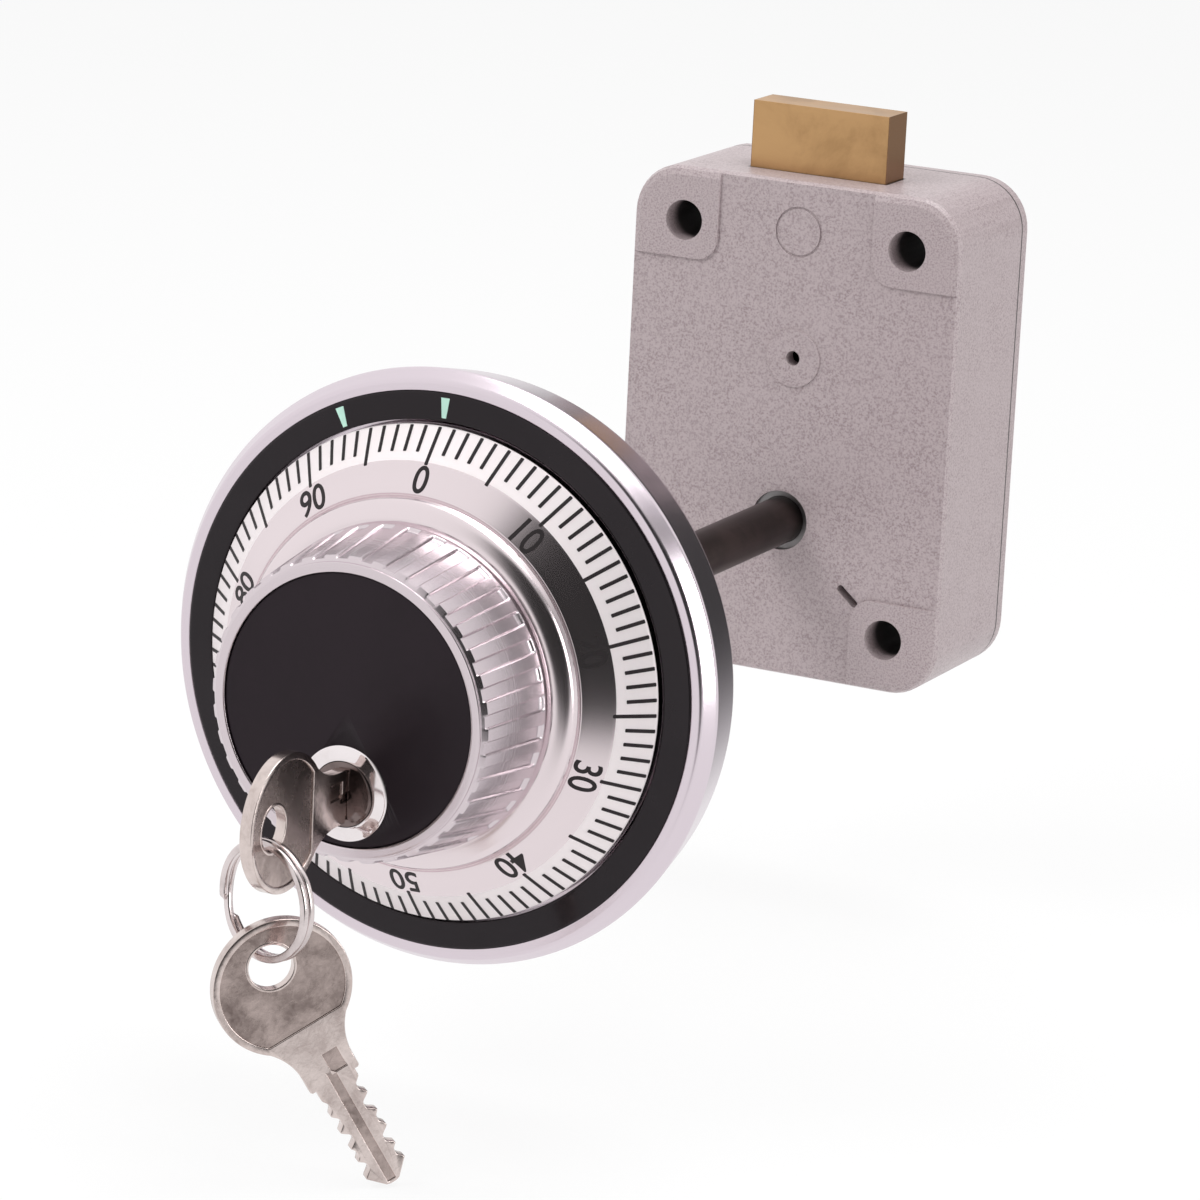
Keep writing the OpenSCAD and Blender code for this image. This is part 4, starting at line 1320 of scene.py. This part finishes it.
ring_turn = turned_by(-17, "Z") @ turned_by(90, "X") @ turned_by(200, "Z")
coil = coil @ np.array(ring_turn).T + np.array([0, -eye_y, loop_z])
place(surface("split_ring_wire", coil, False, True), wire_steel, "split_ring", "split_ring")

# %% [markdown]
# ## Camera
#
# The camera looks at the front from the right and a little above, as the photograph does. In the
# photograph the loose dial sags against the case, while here it is straight, so the camera is the
# one that puts case, dial and keys nearest to where they are there.

# %% Set up the camera
azimuth, elevation, roll = 26.59, 14.55, 2.83
focal_px, image_px = 5732, 1200
side_mm, up_mm, distance_mm = -30.13, -13.43, 970.5

a, e = math.radians(azimuth), math.radians(elevation)
back = Vector((math.sin(a) * math.cos(e), -math.cos(a) * math.cos(e), math.sin(e)))
right = Vector((math.cos(a), math.sin(a), 0))
up = back.cross(right)
turn_view = Matrix((right, up, back)).transposed() @ Matrix.Rotation(math.radians(roll), 3, "Z")
camera_data = bpy.data.cameras.new("camera")
camera_data.sensor_fit = "HORIZONTAL"
camera_data.sensor_width = 36
camera_data.lens = focal_px / image_px * 36
camera_data.clip_start = 0.01
camera = bpy.data.objects.new("camera", camera_data)
place_at = turn_view @ Vector((side_mm * MM, up_mm * MM, distance_mm * MM))
camera.matrix_world = Matrix.Translation(place_at) @ turn_view.to_4x4()
bpy.context.scene.collection.objects.link(camera)
bpy.context.scene.camera = camera
print("camera at", [round(v, 3) for v in place_at])

# %% [markdown]
# ## Floor and light
#
# The studio is plain white, and three large soft lamps light it. The floor is clear to
# reflections, which see the white room below it instead, so that nothing dark shows in the metal
# from underneath.

# %% Lay the floor
low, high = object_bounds()
floor_z = low[2] - 0.0005
bpy.ops.mesh.primitive_plane_add(size=6, location=(0, 0, floor_z))
floor_obj = bpy.context.object
floor_obj.name = "floor"
floor_mat, tree, shader = new_finish("white floor", (0.9, 0.9, 0.9), 0.9)
paths = node(tree, "ShaderNodeLightPath")
glow = node(tree, "ShaderNodeEmission", Color=(1, 1, 1, 1), Strength=1.0)
mix = node(tree, "ShaderNodeMixShader")
tree.links.new(maths(tree, "MULTIPLY", paths.outputs["Is Camera Ray"], 0.85), mix.inputs[0])
tree.links.new(shader.outputs[0], mix.inputs[1])
tree.links.new(glow.outputs[0], mix.inputs[2])
clear = node(tree, "ShaderNodeBsdfTransparent")
mirrored = node(tree, "ShaderNodeMixShader")
tree.links.new(paths.outputs["Is Glossy Ray"], mirrored.inputs[0])
tree.links.new(mix.outputs[0], mirrored.inputs[1])
tree.links.new(clear.outputs[0], mirrored.inputs[2])
tree.links.new(mirrored.outputs[0], tree.nodes["Material Output"].inputs["Surface"])
paint(floor_obj, floor_mat)

# %% [markdown]
# Metal shows the room around it. A white room alone would make every metal part flat white, so
# the room that reflections see has dim places, as a real studio has: dark ones round the lens and
# behind the lock, and a softer one at the right. Where the dial's cone faces the lens it turns dark
# in a fan. The key lamp is left out of reflections, since its mirror image would hide the numbers.
# The camera itself sees only white.

# %% Light the room
world = bpy.data.worlds.new("studio")
bpy.context.scene.world = world
world.use_nodes = True
tree = world.node_tree
background = tree.nodes["Background"]
paths = node(tree, "ShaderNodeLightPath")
direction = node(tree, "ShaderNodeTexCoord")


def dim_place(towards, wide, core, darkest):
    """A factor that falls smoothly from 1 to darkest near one direction; angles in degrees."""
    dot = node(tree, "ShaderNodeVectorMath", operation="DOT_PRODUCT")
    tree.links.new(direction.outputs["Generated"], dot.inputs[0])
    dot.inputs[1].default_value = Vector(towards).normalized()
    fall = node(tree, "ShaderNodeMapRange", interpolation_type="SMOOTHSTEP", To_Min=1.0, To_Max=darkest)
    fall.inputs["From Min"].default_value = math.cos(math.radians(wide))
    fall.inputs["From Max"].default_value = math.cos(math.radians(core))
    tree.links.new(dot.outputs["Value"], fall.inputs["Value"])
    return fall.outputs[0]


near_lens = dim_place((0.56, -0.79, 0.26), 44, 29, 0.03)
at_right = dim_place((0.9, -0.1, 0.35), 38, 15, 0.15)
behind = dim_place((0.1, 1.0, 0.12), 34, 12, 0.05)
below = dim_place((0, 0, -1), 96, 84, 0.95)
sides = maths(tree, "MULTIPLY", maths(tree, "MULTIPLY", near_lens, at_right), behind)
room = maths(tree, "MULTIPLY", sides, below)
for_metal = maths(tree, "MULTIPLY", room, paths.outputs["Is Glossy Ray"])
ambient = maths(tree, "MULTIPLY", maths(tree, "SUBTRACT", 1.0, paths.outputs["Is Glossy Ray"]), 0.5)
level = maths(tree, "ADD", for_metal, ambient)
seen = maths(tree, "MAXIMUM", level, paths.outputs["Is Camera Ray"])
tree.links.new(seen, background.inputs["Strength"])
background.inputs["Color"].default_value = (1, 1, 1, 1)


def softbox(name, position, target, width, depth, power):
    """A large soft lamp that faces a point, all in metres."""
    data = bpy.data.lights.new(name, "AREA")
    data.shape = "RECTANGLE"
    data.size, data.size_y = width, depth
    data.energy = power
    lamp = bpy.data.objects.new(name, data)
    lamp.location = position
    aim = Vector(target) - Vector(position)
    lamp.rotation_euler = aim.to_track_quat("-Z", "Y").to_euler()
    bpy.context.scene.collection.objects.link(lamp)
    return lamp


middle = (0, -0.06, 0)
key_lamp = softbox("key_lamp", (-0.45, -0.6, 0.75), middle, 0.6, 0.45, 4.8)
key_lamp.visible_glossy = False
softbox("top_lamp", (0.15, 0.1, 0.95), middle, 0.8, 0.5, 4.9)
softbox("side_lamp", (0.95, -0.1, 0.2), middle, 0.3, 0.6, 2.6)
bpy.context.scene.view_settings.view_transform = "Standard"
